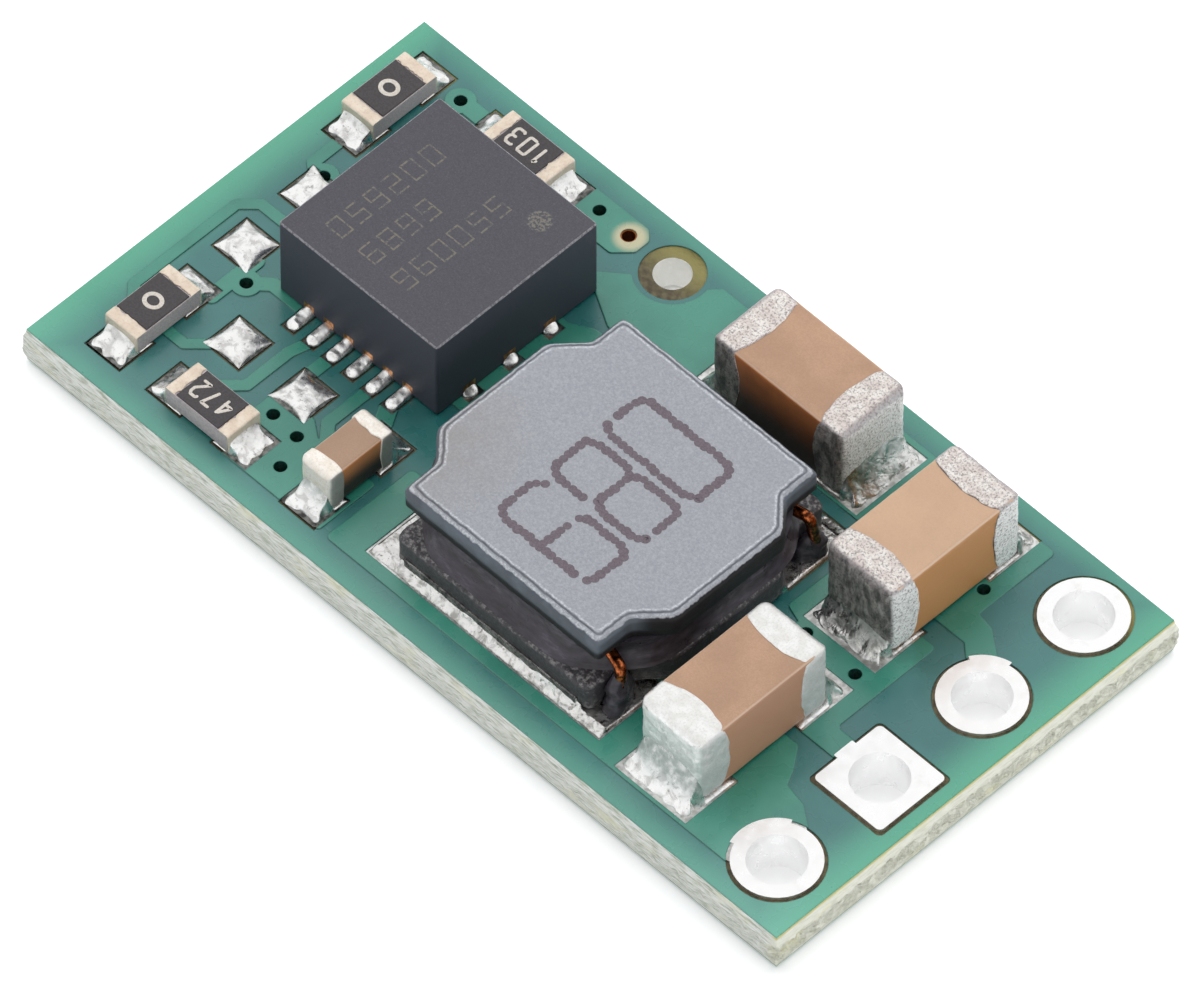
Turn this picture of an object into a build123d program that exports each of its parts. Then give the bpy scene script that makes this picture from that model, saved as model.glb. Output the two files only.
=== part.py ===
from build123d import *
from math import atan2, degrees, hypot
import os

# Buck converter module: a small board with a regulator, a shielded inductor, chip capacitors and resistors.
# Millimetres. +X runs along the board towards the row of terminal holes, +Z is up from the board's face.
# The origin is the centre of the board's underside.

# Board
board_length = 19.05
board_width = 10.08
core_thickness = 0.80
copper_thickness = 0.035
mask_over_copper = 0.020
mask_over_core = 0.030
score_inset = 0.10            # how far the broken web stands out past each scored face
score_web = 0.28              # thickness of the web left between the two score cuts
mask_expansion = 0.045        # gap between a pad and the edge of its mask opening
mask_draw = 0.030             # how far the mask's step stands out round the copper below it

# Terminal holes
terminal_pitch = 2.54
terminal_count = 4
terminal_edge_distance = 1.27     # hole row to the board's end, over the web
terminal_row_shift = 0.05
terminal_bore_radius = 0.555
terminal_plating = 0.040          # copper barrel with its coat of tin
terminal_pad_radius = 0.83
terminal_mask_gap = 0.070
terminal_lip = 0.020              # how far the tinned ring stands above the mask
square_terminal = 1               # counted from 0 along +Y

# Locating hole and vias
edge_row = board_width / 2 - 0.94     # the row of the locating hole and of the vias beside it
locating_hole_at = (-2.27, edge_row)
locating_hole_radius = 0.36
locating_clear_radius = 0.62
via_bore_radius = 0.125
via_plating_wall = 0.025
via_ring_radius = 0.26
hole_copper_gap = 0.14            # bare core between the open ring of the locating hole and the copper
bottom_clearance = 0.25           # the same round the terminals on the underside
bottom_margin = 0.40

# Chips: length and width, and how far each land goes out past the end, in under it and out past the sides
small_chip = dict(length=1.60, width=0.80, reach=0.435, under=0.385, side=0.010)
output_chip = dict(length=3.20, width=1.60, reach=0.440, under=0.780, side=0.045)
input_chip = dict(length=3.30, width=1.70, reach=0.390, under=0.830, side=0.000)
resistor_height = 0.45
supply_capacitor_height = 0.92
output_capacitor_height = 1.65
input_capacitor_height = 1.74
solder_gap = 0.030                # solder between a land and what stands on it
cap_plating = 0.020
cap_band_share = 0.20             # of the chip's length, at the corners
cap_band_bulge = 0.08             # of the chip's width, at the middle of each face
cap_solder_climb = 0.42           # share of the height that the solder wets
chip_edge_radius = 0.06
end_cap_edge_radius = 0.10
wrap_thickness = 0.030
wrap_band_share = 0.17
wrap_solder_climb = 0.75
overcoat_inset = 0.02             # bare ceramic left along each long edge
fillet_foot = 0.03                # solder's thickness at the outer edge of its land
fillet_hollow = 0.16              # sag of the hollow face, as a share of its chord
flank_hollow = 0.12
end_round = 0.03                  # how far the solder reaches in under a chip's rounded end
dome_height = 0.16
dome_corner = 0.07
dome_round = 0.12

# Regulator
regulator_at = (-4.91, 0.87)
regulator_side = 4.00
regulator_top = 1.93              # above the board's face
regulator_standoff = 0.030
regulator_edge = 0.06
regulator_top_edge = 0.03
fine_lead_pitch = 0.50
fine_lead_count = 6
fine_lead_width = 0.25
wide_lead_pitch = 1.00
wide_lead_count = 3
wide_lead_width = 0.30
wide_lead_shift = -0.20           # of each wide row, along its side
lead_length = 0.40
lead_height = 0.20
fine_land_reach = 0.50            # land beyond the package's side
wide_land_reach = 0.15
fine_solder_climb = 0.85          # share of the lead's height that the solder wets
wide_solder_climb = 0.50
heat_pad_side = 2.40

# Inductor
inductor_at = (1.27, -0.94)
inductor_length = 6.00
inductor_width = 6.00
upper_flange_width = inductor_width - 0.53
inductor_top = 1.90               # above the board's face
upper_flange_thickness = 0.52
lower_flange_thickness = 0.64
notch_half_length = inductor_length / 2 - 0.55    # half the length left between the notches
notch_start = inductor_width / 2 - 1.65           # where a notch's slope leaves the long side
notch_end = inductor_width / 2 - 1.07             # where it turns square to the end
flange_edge = 0.08
lower_flange_corner = 0.30
upper_flange_corner = 0.10
post_radius = 1.30
winding_radius = 2.20
winding_gap = 0.02                # clear of the flanges, and of the post
wire_radius = 0.11
resin_inset = 0.10
resin_waist = 0.14
resin_corner_radius = 3.20
resin_foot_radius = 3.30
electrode_thickness = 0.03
electrode_wrap = 0.26
electrode_climb = 0.80            # share of the electrode's height that the solder wets
inductor_land_length = inductor_length - 0.22
inductor_land_width = 1.60
inductor_land_span = inductor_width + 0.30
tail_leaves = 61.6                # direction from the centre in which a wire end leaves the winding
tail_bend = (inductor_length / 2 - 0.38, inductor_width / 2 - 0.66)
tail_end = (inductor_length / 2 - 0.30, inductor_width / 2 - 0.54)
tail_end_height = 0.04
tail_fall = 0.12
tail_bend_radius = 0.16

# Heights that follow from the stack of layers
core_bottom = copper_thickness + mask_over_copper
core_top = core_bottom + core_thickness
copper_top = core_top + copper_thickness
board_face = copper_top + mask_over_copper
face_length = board_length - 2 * score_inset
face_width = board_width - 2 * score_inset
pour_edge = face_width / 2 - 0.56     # where the copper areas stop, along both long sides
terminal_x = board_length / 2 - terminal_edge_distance

ALONG_X = 0
ALONG_Y = 90

# Part, height, place and direction of each fitted chip
capacitors = {
    "input_capacitor_1": (input_chip, input_capacitor_height, (1.78, 3.475), ALONG_X),
    "input_capacitor_2": (input_chip, input_capacitor_height, (5.67, pour_edge - 1.945), ALONG_Y),
    "output_capacitor": (output_chip, output_capacitor_height, (5.67, 2.13 - pour_edge), ALONG_Y),
    "supply_capacitor": (small_chip, supply_capacitor_height, (-3.085, -3.17), ALONG_Y),
}
resistors = {
    "resistor_1": (small_chip, resistor_height, (-8.52, 3.18), ALONG_Y),
    "resistor_2": (small_chip, resistor_height, (-8.03, -3.155), ALONG_Y),
    "resistor_3": (small_chip, resistor_height, (-5.835, edge_row - 0.10), ALONG_X),
    "resistor_4": (small_chip, resistor_height, (-5.71, -3.94), ALONG_X),
}
open_chips = [
    (small_chip, (-8.03, -0.03), ALONG_Y),
    (small_chip, (-5.725, -2.475), ALONG_X),
]

# Small plated vias, the first in an open copper ring
vias = [
    (-3.40, edge_row + 0.02), (-4.17, edge_row + 0.05), (-7.675, edge_row + 0.03), (-8.17, 1.20),
    (-7.41, -1.46), (-4.97, -3.17), (-4.32, -3.22), (-4.05, -3.89), (6.60, 3.02), (6.33, 0.09), (5.08, 0.12),
]
open_via_ring = 0.15


def terminal_y(index):
    """Place of a terminal hole along the row."""
    return (index - (terminal_count - 1) / 2) * terminal_pitch + terminal_row_shift


def lead_offsets(count, pitch):
    """Offsets of a row of leads about its middle."""
    return [(index - (count - 1) / 2) * pitch for index in range(count)]


def placed(shape, at, angle, height=0.0):
    """A shape made at the origin, turned about Z and moved to its place."""
    return Pos(at[0], at[1], height) * Rot(0, 0, angle) * shape


def raised(sketch, bottom, thickness):
    """A flat sketch made a plate of a thickness, upwards from a height."""
    return extrude(Pos(0, 0, bottom) * sketch, thickness, dir=(0, 0, 1))


def joined(shapes):
    """One sketch or solid from a list of them."""
    total = shapes[0]
    for shape in shapes[1:]:
        total += shape
    return total


# Copper artwork, as flat sketches about the board's centre

def track(points, width):
    """A track with round ends along a line of points."""
    pieces = []
    for (x0, y0), (x1, y1) in zip(points, points[1:]):
        slot = SlotCenterToCenter(hypot(x1 - x0, y1 - y0), width)
        middle = ((x0 + x1) / 2, (y0 + y1) / 2)
        pieces.append(placed(slot, middle, degrees(atan2(y1 - y0, x1 - x0))))
    return joined(pieces)


def pour(points, corner=0.08):
    """A copper area with small round corners."""
    area = Polygon(*points, align=None)
    return fillet(area.vertices(), corner)


def land_size(chip):
    """Length and width of one of a chip's lands."""
    return chip["reach"] + chip["under"], chip["width"] + 2 * chip["side"]


def land_centres(chip):
    """The two land centres of a chip, along its own length."""
    centre = (chip["length"] + chip["reach"] - chip["under"]) / 2
    return (-centre, centre)


def chip_lands(chip, at, angle, grow=0.0):
    """The two lands under a chip, or their mask openings when grown."""
    length, width = land_size(chip)
    land = Rectangle(length + 2 * grow, width + 2 * grow)
    return [placed(Pos(u, 0) * land, at, angle) for u in land_centres(chip)]


def inductor_lands(grow=0.0):
    """The inductor's two long lands."""
    land = Rectangle(inductor_land_length + 2 * grow, inductor_land_width + 2 * grow)
    reach = (inductor_land_span - inductor_land_width) / 2
    x, y = inductor_at
    return [Pos(x, y - reach) * land, Pos(x, y + reach) * land]


def regulator_sides():
    """Each side of the regulator: turn of its outward direction, leads, pitch, width and land reach."""
    fine = (fine_lead_count, fine_lead_pitch, fine_lead_width, fine_land_reach)
    wide = (wide_lead_count, wide_lead_pitch, wide_lead_width, wide_land_reach)
    return [(0, *wide), (90, *fine), (180, *wide), (270, *fine)]


def regulator_leads():
    """Turn, offset, width and land reach of every lead."""
    found = []
    for turn, count, pitch, width, reach in regulator_sides():
        shift = wide_lead_shift if width == wide_lead_width else 0.0
        found += [(turn, offset + shift, width, reach) for offset in lead_offsets(count, pitch)]
    return found


def regulator_lands(grow=0.0):
    """The regulator's lead lands and its heat pad land."""
    lands = [Pos(*regulator_at) * Rectangle(heat_pad_side + 2 * grow, heat_pad_side + 2 * grow)]
    for turn, offset, width, reach in regulator_leads():
        length = lead_length + reach
        middle = regulator_side / 2 - lead_length + length / 2
        land = Rectangle(length + 2 * grow, width + 2 * grow)
        lands.append(placed(Pos(middle, offset) * land, regulator_at, turn))
    return lands


def all_lands(grow=0.0):
    """Every soldered land on the top face."""
    lands = inductor_lands(grow) + regulator_lands(grow)
    for chip, _, at, angle in [*capacitors.values(), *resistors.values()]:
        lands += chip_lands(chip, at, angle, grow)
    for chip, at, angle in open_chips:
        lands += chip_lands(chip, at, angle, grow)
    return lands


def terminal_outline(index, radius):
    """A round or square terminal pad."""
    if index == square_terminal:
        pad = Rectangle(2 * radius, 2 * radius)
        return fillet(pad.vertices(), radius / 8)
    return Circle(radius)


def terminal_area(radius):
    """All terminal pads as one sketch."""
    places = [Pos(terminal_x, terminal_y(index)) for index in range(terminal_count)]
    return joined([place * terminal_outline(index, radius) for index, place in enumerate(places)])


def via_area(radius, places):
    """A disc at each via."""
    return joined([Pos(x, y) * Circle(radius) for x, y in places])


def top_areas():
    """The poured copper areas of the top face."""
    switch_area = pour([(-3.25, -0.72), (-1.9, -0.72), (-1.0, 0.45), (4.15, 0.45), (4.15, 2.2),
                        (-2.3, 2.2), (-2.75, 1.95), (-3.25, 1.95)])
    first_input_area = pour([(-3.3, 3.05), (-2.2, 2.45), (0.7, 2.45), (0.7, pour_edge + 0.06),
                             (-1.35, pour_edge + 0.06), (-2.2, 3.5), (-2.75, 3.5)])
    input_area = pour([(2.55, 2.55), (4.9, 2.55), (4.9, 1.98), (7.2, 1.98), (7.5, 1.72), (8.1, 1.9),
                       (7.75, 2.15), (7.3, 2.48), (6.9, 2.55), (6.9, pour_edge + 0.08),
                       (2.55, pour_edge + 0.08)])
    ground_area = pour([(4.45, 1.48), (6.9, 1.48), (6.9, -0.9), (7.0, -0.98), (7.6, -0.98), (7.6, -1.44),
                        (4.9, -1.44), (4.9, 0.2), (4.45, 0.35)])
    output_area = pour([(-2.35, -2.3), (4.3, -2.3), (4.3, -1.75), (6.72, -1.75), (7.05, -2.2), (7.2, -2.5),
                        (7.7, -2.6), (8.2, -2.95), (8.2, 0.18 - pour_edge), (7.60, -pour_edge),
                        (-2.35, -pour_edge)])
    lower_area = pour([(-5.28, -2.75), (-4.40, -2.75), (-4.05, -3.0), (-2.60, -3.0), (-2.60, -pour_edge),
                       (-5.0, -pour_edge), (-5.28, 0.28 - pour_edge)])
    tongue = pour([(-5.2, edge_row + 0.34), (-3.25, edge_row + 0.34), (-3.08, edge_row + 0.18),
                   (-3.08, edge_row - 0.15), (-3.38, edge_row - 0.46), (-5.2, edge_row - 0.46)])
    cleared = first_input_area - Pos(*locating_hole_at) * Circle(locating_clear_radius + hole_copper_gap)
    return [switch_area, cleared, input_area, ground_area, output_area, lower_area, tongue]


def top_tracks():
    """The signal tracks of the top face."""
    lead_row = regulator_at[1] - regulator_side / 2 - 0.45
    leads = [regulator_at[0] + offset for offset in lead_offsets(fine_lead_count, fine_lead_pitch)]
    feedback = track([(-7.1, -0.03), (-8.50, -0.03), (-8.81, -0.34), (-8.81, -2.88), (-8.50, -3.19),
                      (-7.22, -3.19), (-6.85, -2.82)], 0.17)
    divider = track([(-7.64, -1.0), (-7.64, -2.1)], 0.26)
    divider_link = track([(-7.64, -1.5), (-7.41, -1.46), (-7.05, -1.14), (leads[0], -1.14)], 0.24)
    enable = track([(-8.53, 2.4), (-8.53, 1.30), (-8.20, 1.05)], 0.20)
    sense = track([(leads[1], lead_row), (-5.77, -2.0), (-5.77, -3.05), (-6.35, -3.65)], 0.18)
    third_lead = track([(leads[2], lead_row), (leads[2], -2.3)], 0.22)
    fifth_lead = track([(leads[4], lead_row), (leads[4], -2.6), (-3.85, -2.95)], 0.20)
    supply = track([(leads[5], lead_row), (-3.3, -2.2)], 0.28)
    via_link = track([(-7.675, edge_row + 0.03), (-7.0, edge_row + 0.03)], 0.30)
    return [feedback, divider, divider_link, enable, sense, third_lead, fifth_lead, supply, via_link]


def top_copper_sketch():
    """All copper of the top face, less the terminal pads, the via bores and the locating hole."""
    sheet = joined(all_lands() + top_areas() + top_tracks())
    sheet += via_area(via_ring_radius, vias)
    clearance = terminal_area(terminal_pad_radius)
    bores = via_area(via_bore_radius + via_plating_wall, vias)
    return sheet - clearance - bores


def bottom_copper_sketch():
    """A ground area over the underside, cleared round the terminals, the vias and the locating hole."""
    sheet = RectangleRounded(face_length - 2 * bottom_margin, face_width - 2 * bottom_margin, bottom_margin)
    sheet -= terminal_area(terminal_pad_radius + bottom_clearance)
    ground_y = terminal_y(square_terminal)
    spoke = Rectangle(1.4 * terminal_pad_radius, 0.6)
    sheet += Pos(terminal_x - 1.1 * terminal_pad_radius, ground_y) * spoke
    sheet -= Pos(*locating_hole_at) * Circle(locating_clear_radius + hole_copper_gap)
    sheet -= via_area(via_ring_radius + hole_copper_gap, vias[:5])
    sheet += via_area(via_ring_radius, vias)
    bores = via_area(via_bore_radius + via_plating_wall, vias)
    return sheet - terminal_area(terminal_pad_radius) - bores


def mask_openings(grow):
    """Everything that the top mask leaves open."""
    openings = joined(all_lands(grow))
    openings += Pos(*vias[0]) * Circle(open_via_ring)
    return openings


def hole_openings():
    """What both masks leave open: terminals, via bores and the ring round the locating hole."""
    openings = terminal_area(terminal_pad_radius + terminal_mask_gap)
    openings += via_area(via_bore_radius, vias)
    openings += Pos(*locating_hole_at) * Circle(locating_clear_radius)
    return openings


# The board's solids

def circuit_board():
    """The core: two score cuts leave a broken web at mid thickness, and the holes are drilled through."""
    cut = (core_thickness - score_web) / 2
    face = Rectangle(face_length, face_width)
    web = Rectangle(board_length, board_width)
    heights = [core_bottom, core_bottom + cut, core_top - cut, core_top]
    sections = [Pos(0, 0, z) * s for z, s in zip(heights, [face, web, web, face])]
    core = loft(sections, ruled=True)
    drill = Circle(terminal_bore_radius + terminal_plating)
    drills = [Pos(terminal_x, terminal_y(index)) * drill for index in range(terminal_count)]
    drills += [Pos(*locating_hole_at) * Circle(locating_hole_radius)]
    drills += [Pos(x, y) * Circle(via_bore_radius + via_plating_wall) for x, y in vias]
    for drill in drills:
        core -= raised(drill, core_bottom, core_thickness)
    return core


def copper_layer(sketch, height):
    """A sheet of copper of the layer's thickness."""
    return raised(sketch, height, copper_thickness)


def solder_mask(copper_sketch, openings, top):
    """The mask: thin on the core, stepped up over the copper, with the copper's own space taken out."""
    sheet = Rectangle(face_length, face_width) - openings
    covered = offset(copper_sketch, mask_draw) & sheet
    step = copper_thickness + mask_over_copper
    if top:
        layers = raised(sheet, core_top, mask_over_core) + raised(covered, core_top, step)
        return layers - copper_layer(copper_sketch, core_top)
    layers = raised(sheet, core_bottom - mask_over_core, mask_over_core) + raised(covered, 0, step)
    return layers - copper_layer(copper_sketch, mask_over_copper)


def terminal_barrel(index):
    """One terminal's tinned barrel with a pad on each face."""
    place = (terminal_x, terminal_y(index))
    wall = Circle(terminal_bore_radius + terminal_plating) - Circle(terminal_bore_radius)
    pad = terminal_outline(index, terminal_pad_radius) - Circle(terminal_bore_radius)
    top = board_face + terminal_lip
    ring = raised(wall, 0, top) + raised(pad, 0, core_bottom) + raised(pad, core_top, top - core_top)
    return Pos(*place, 0) * ring


def via_barrels():
    """The plated wall of each via."""
    wall = Circle(via_bore_radius + via_plating_wall) - Circle(via_bore_radius)
    barrel = raised(wall, mask_over_copper, copper_top - mask_over_copper)
    return [Pos(x, y, 0) * barrel for x, y in vias]


def open_pad_domes():
    """The dome of solder on each unfitted pad."""
    domes = []
    for chip, at, angle in open_chips:
        dome = raised(Rectangle(*land_size(chip)), 0, dome_height)
        dome = fillet(dome.edges().filter_by(Axis.Z), dome_corner)
        dome = fillet(dome.faces().sort_by(Axis.Z)[-1].edges(), dome_round)
        domes += [placed(Pos(u, 0) * dome, at, angle, copper_top) for u in land_centres(chip)]
    return domes


# Solder fillets

def fillet_profile(inner, outer, foot, climb, wall):
    """Side view of a solder fillet: flat on its land, hollow up to the wall that it wets."""
    low = (outer, foot)
    high = (wall, climb)
    sag = fillet_hollow * hypot(outer - wall, climb - foot)
    line = Polyline((wall, climb), (inner, climb), (inner, 0), (outer, 0), low)
    return make_face(line + SagittaArc(low, high, sag))


def flank_profile(land_half, body_half, foot, climb):
    """End view of a solder fillet: as wide as the land below, as wide as the part above."""
    right_low = (land_half, foot)
    right_high = (body_half, climb)
    if abs(land_half - body_half) < 0.01:
        return Pos(0, climb / 2) * Rectangle(2 * land_half, climb)
    sag = -flank_hollow * hypot(land_half - body_half, climb - foot)
    outline = Polyline((-body_half, climb), right_high)
    outline += SagittaArc(right_high, right_low, sag)
    outline += Polyline(right_low, (land_half, 0), (-land_half, 0), (-land_half, foot))
    outline += SagittaArc((-land_half, foot), (-body_half, climb), sag)
    return make_face(outline)


def solder_fillet(inner, outer, wall, land_width, body_width, climb, foot=fillet_foot):
    """Solder on one land, outward along +X: the side view and the end view cut across each other."""
    side = Plane.XZ * fillet_profile(inner, outer, foot, climb, wall)
    side = extrude(side, land_width, both=True)
    flank = Plane.YZ * flank_profile(land_width / 2, body_width / 2, foot, climb)
    flank = extrude(flank, 2 * outer, both=True)
    return side & flank


# Chips

def bulged_ends(length, width, height, band, bulge):
    """The two end regions of a dipped chip, whose inner margins bow towards the middle on every face."""
    margin = length / 2 - band
    far = length

    def across(half):
        low = (margin, -half)
        high = (margin, half)
        outline = Polyline(high, (far, half), (far, -half), low)
        return make_face(outline + SagittaArc(low, high, bulge))

    by_top = extrude(across(width / 2), height, both=True)
    by_side = extrude(Plane.XZ * across(height / 2), width, both=True)
    end = by_top + by_side
    return end


def capacitor(chip, height):
    """Ceramic body, two tinned end caps and the solder at both ends, along X and standing at z = 0."""
    length, width = chip["length"], chip["width"]
    middle = solder_gap + height / 2
    inner = Box(length - 2 * cap_plating, width - 2 * cap_plating, height - 2 * cap_plating)
    inner = fillet(inner.edges(), chip_edge_radius)
    outer = fillet(Box(length, width, height).edges(), end_cap_edge_radius * min(1, height))
    ends = bulged_ends(length, width, height, cap_band_share * length, cap_band_bulge * width)
    cap = Pos(0, 0, middle) * ((outer & ends) - inner)
    body = Pos(0, 0, middle) * inner
    return body, Rot(0, 0, 180) * cap, cap


def resistor(chip, height):
    """Ceramic substrate, dark overcoat and two end wraps, along X and standing at z = 0."""
    length, width = chip["length"], chip["width"]
    band = wrap_band_share * length
    body = Box(length - 2 * wrap_thickness, width, height - 2 * wrap_thickness)
    body = Pos(0, 0, solder_gap + height / 2) * body
    coat = Box(length - 2 * band, width - 2 * overcoat_inset, wrap_thickness)
    coat = Pos(0, 0, solder_gap + height - wrap_thickness / 2) * coat
    coat = fillet(coat.faces().sort_by(Axis.Z)[-1].edges(), wrap_thickness / 3)
    wrap = Box(band, width, height)
    wrap = Pos(length / 2 - band / 2, 0, solder_gap + height / 2) * wrap
    wrap = fillet(wrap.faces().sort_by(Axis.X)[-1].edges(), wrap_thickness)
    wrap -= body
    return body, coat, Rot(0, 0, 180) * wrap, wrap


def chip_solder(chip, height, climb_share, keep_out):
    """Solder at both ends of a chip, cut to the shape of what stands in it."""
    wall = chip["length"] / 2
    land_width = land_size(chip)[1]
    climb = solder_gap + climb_share * height
    body_width = chip["width"] - 2 * end_round
    joint = solder_fillet(wall - chip["under"], wall + chip["reach"], wall - end_round, land_width,
                          body_width, climb)
    envelope = Box(chip["length"] - 2 * end_cap_edge_radius, 2 * chip["width"], height)
    joint = joint - Pos(0, 0, solder_gap + height / 2) * envelope - keep_out
    return joint, Rot(0, 0, 180) * joint


def largest(shape):
    """The largest solid of a shape."""
    return sorted(shape.solids(), key=lambda s: s.volume)[-1]


# Regulator

def regulator_lead_solids():
    """All lead ends and the heat pad, about the package's centre."""
    base = board_face + regulator_standoff
    solids = []
    for turn, offset, width, _ in regulator_leads():
        lead = Box(lead_length, width, lead_height)
        lead = Pos(regulator_side / 2 - lead_length / 2, offset, base + lead_height / 2) * lead
        solids.append(placed(lead, regulator_at, turn))
    pad = Box(heat_pad_side, heat_pad_side, lead_height)
    solids.append(Pos(*regulator_at, base + lead_height / 2) * pad)
    return solids


def regulator_body(leads):
    """The moulded package, its lower edge eased, with the leads let into it."""
    base = board_face + regulator_standoff
    height = regulator_top - regulator_standoff
    body = Box(regulator_side, regulator_side, height)
    body = fillet(body.edges().filter_by(Axis.Z), regulator_edge)
    body = chamfer(body.faces().sort_by(Axis.Z)[-1].edges(), regulator_top_edge)
    body = Pos(*regulator_at, base + height / 2) * body
    for lead in leads:
        body -= lead
    return body


def regulator_solder_solids():
    """Solder under and beside each lead, and under the heat pad."""
    base_gap = board_face + regulator_standoff - copper_top
    solids = []
    for turn, offset, width, reach in regulator_leads():
        inner = regulator_side / 2 - lead_length
        wall = regulator_side / 2
        share = fine_solder_climb if width == fine_lead_width else wide_solder_climb
        climb = base_gap + share * lead_height
        joint = solder_fillet(inner, wall + reach, wall, width, width, climb)
        package = Pos(0, 0, base_gap + 0.5) * Box(2 * wall, 2 * wall, 1.0)
        joint = Pos(0, offset, 0) * joint - package
        solids.append(placed(joint, regulator_at, turn, copper_top))
    pad = Box(heat_pad_side, heat_pad_side, base_gap)
    solids.append(Pos(*regulator_at, copper_top + base_gap / 2) * pad)
    return solids


# Inductor, about its own centre with z = 0 at the board's face

def notched_outline(half_width, corner):
    """A flange seen from above: a cross with sloping shoulders, its four corners notched for the wire."""
    half_length = inductor_length / 2
    quarter = [(half_length, notch_start), (notch_half_length, notch_end), (notch_half_length, half_width)]
    points = quarter
    points = points + [(-x, y) for x, y in reversed(quarter)]
    points = points + [(-x, -y) for x, y in quarter]
    points = points + [(x, -y) for x, y in reversed(quarter)]
    outline = Polygon(*points, align=None)
    tips = [v for v in outline.vertices() if abs(abs(v.Y) - half_width) < 1e-6]
    return fillet(tips, corner)


lower_flange_base = solder_gap + electrode_thickness
lower_flange_top = lower_flange_base + lower_flange_thickness
upper_flange_base = inductor_top - upper_flange_thickness


def inductor_core():
    """The ferrite drum: two notched flanges on a round post."""
    lower = notched_outline(inductor_width / 2 - electrode_thickness, lower_flange_corner)
    lower = raised(lower, lower_flange_base, lower_flange_thickness)
    upper = notched_outline(upper_flange_width / 2, upper_flange_corner)
    upper = raised(upper, upper_flange_base, upper_flange_thickness)
    upper = chamfer(upper.faces().sort_by(Axis.Z)[-1].edges(), flange_edge)
    post = raised(Circle(post_radius), lower_flange_base, inductor_top - flange_edge - lower_flange_base)
    return lower + post + upper


def tail(side):
    """A wire end: out of the winding, across the notch and down beside the lower flange."""
    level = upper_flange_base - 2 * wire_radius
    start = Vector(winding_radius, 0, level).rotate(Axis.Z, side * tail_leaves)
    bend = Vector(tail_bend[0], side * tail_bend[1], level - tail_fall)
    end = Vector(tail_end[0], side * tail_end[1], tail_end_height)
    path = FilletPolyline(start, bend, end, radius=tail_bend_radius)
    section = (path ^ 0) * Circle(wire_radius)
    return sweep(section, path)


def inductor_winding():
    """The wound copper, its turns as round beads on the outside, with a tail in each notch of the +X end."""
    low = lower_flange_top + winding_gap
    high = upper_flange_base - winding_gap
    rows = round((high - low) / (2 * wire_radius))
    pitch = (high - low) / rows
    bulk = Circle(winding_radius - wire_radius) - Circle(post_radius + winding_gap)
    coil = raised(bulk, low, high - low)
    for row in range(rows):
        bead = Pos(0, 0, low + (row + 0.5) * pitch) * Torus(winding_radius - wire_radius, pitch / 2)
        coil += bead
    return coil + tail(1) + tail(-1)


def inductor_resin(core, winding):
    """Filled resin packed round the winding between the flanges, hollow at its waist, cut away for the tails."""
    low = lower_flange_top
    high = upper_flange_base
    length = inductor_length - 2 * resin_inset
    under = Rectangle(length, upper_flange_width - 2 * resin_inset) & Circle(resin_corner_radius)
    foot = Rectangle(length, inductor_width - 2 * resin_inset) & Circle(resin_foot_radius)
    waist = offset(under, -resin_waist)
    middle = Pos(0, 0, (low + high) / 2) * waist
    block = loft([Pos(0, 0, low) * foot, middle], ruled=True)
    block += loft([middle, Pos(0, 0, high) * under], ruled=True)
    room = raised(Circle(winding_radius), low, high - low)
    return block - room - core - winding


def electrode(core):
    """A tinned layer under one end of the lower flange, turned up its side, outward along +Y."""
    half_width = inductor_width / 2
    inner = half_width - inductor_land_width
    outline = notched_outline(half_width, lower_flange_corner)
    strip = Pos(0, (inner + half_width) / 2) * Rectangle(inductor_length, half_width - inner)
    plate = raised(outline & strip, solder_gap, electrode_wrap)
    straight = 2 * (notch_half_length - lower_flange_corner)
    keep = Box(straight, 4 * half_width, 2 * electrode_wrap)
    keep = Pos(0, half_width, solder_gap + electrode_wrap / 2) * keep
    return (plate & keep) - core


def inductor_joint(keep_out):
    """Solder on one of the inductor's lands, outward along +Y."""
    lift = board_face - copper_top
    reach = inductor_land_span / 2
    climb = lift + solder_gap + electrode_climb * electrode_wrap
    joint = solder_fillet(reach - inductor_land_width, reach, inductor_width / 2, inductor_land_length,
                          2 * notch_half_length, climb)
    joint = Pos(0, 0, -lift) * Rot(0, 0, 90) * joint
    body = raised(notched_outline(inductor_width / 2, lower_flange_corner), solder_gap, lower_flange_top)
    return joint - body - keep_out


# Build and write

def write(name, shapes):
    """One STEP file for a node of one or more solids."""
    if not isinstance(shapes, list):
        shapes = [shapes]
    solids = [solid for shape in shapes for solid in shape.solids()]
    shape = solids[0] if len(solids) == 1 else Compound(children=solids)
    export_step(shape, f"parts/{name}.step")


def build_board():
    """Core, copper, mask, platings and the solder on unfitted pads."""
    write("circuit_board", circuit_board())
    top = top_copper_sketch()
    bottom = bottom_copper_sketch()
    write("top_copper", copper_layer(top, core_top))
    write("bottom_copper", copper_layer(bottom, mask_over_copper))
    write("top_solder_mask", solder_mask(top, hole_openings() + mask_openings(mask_expansion), True))
    write("bottom_solder_mask", solder_mask(bottom, hole_openings(), False))
    for index in range(terminal_count):
        write(f"barrel_terminal_{index + 1}", terminal_barrel(index))
    write("via_platings", via_barrels())
    write("open_pad_solder", open_pad_domes())


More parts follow.
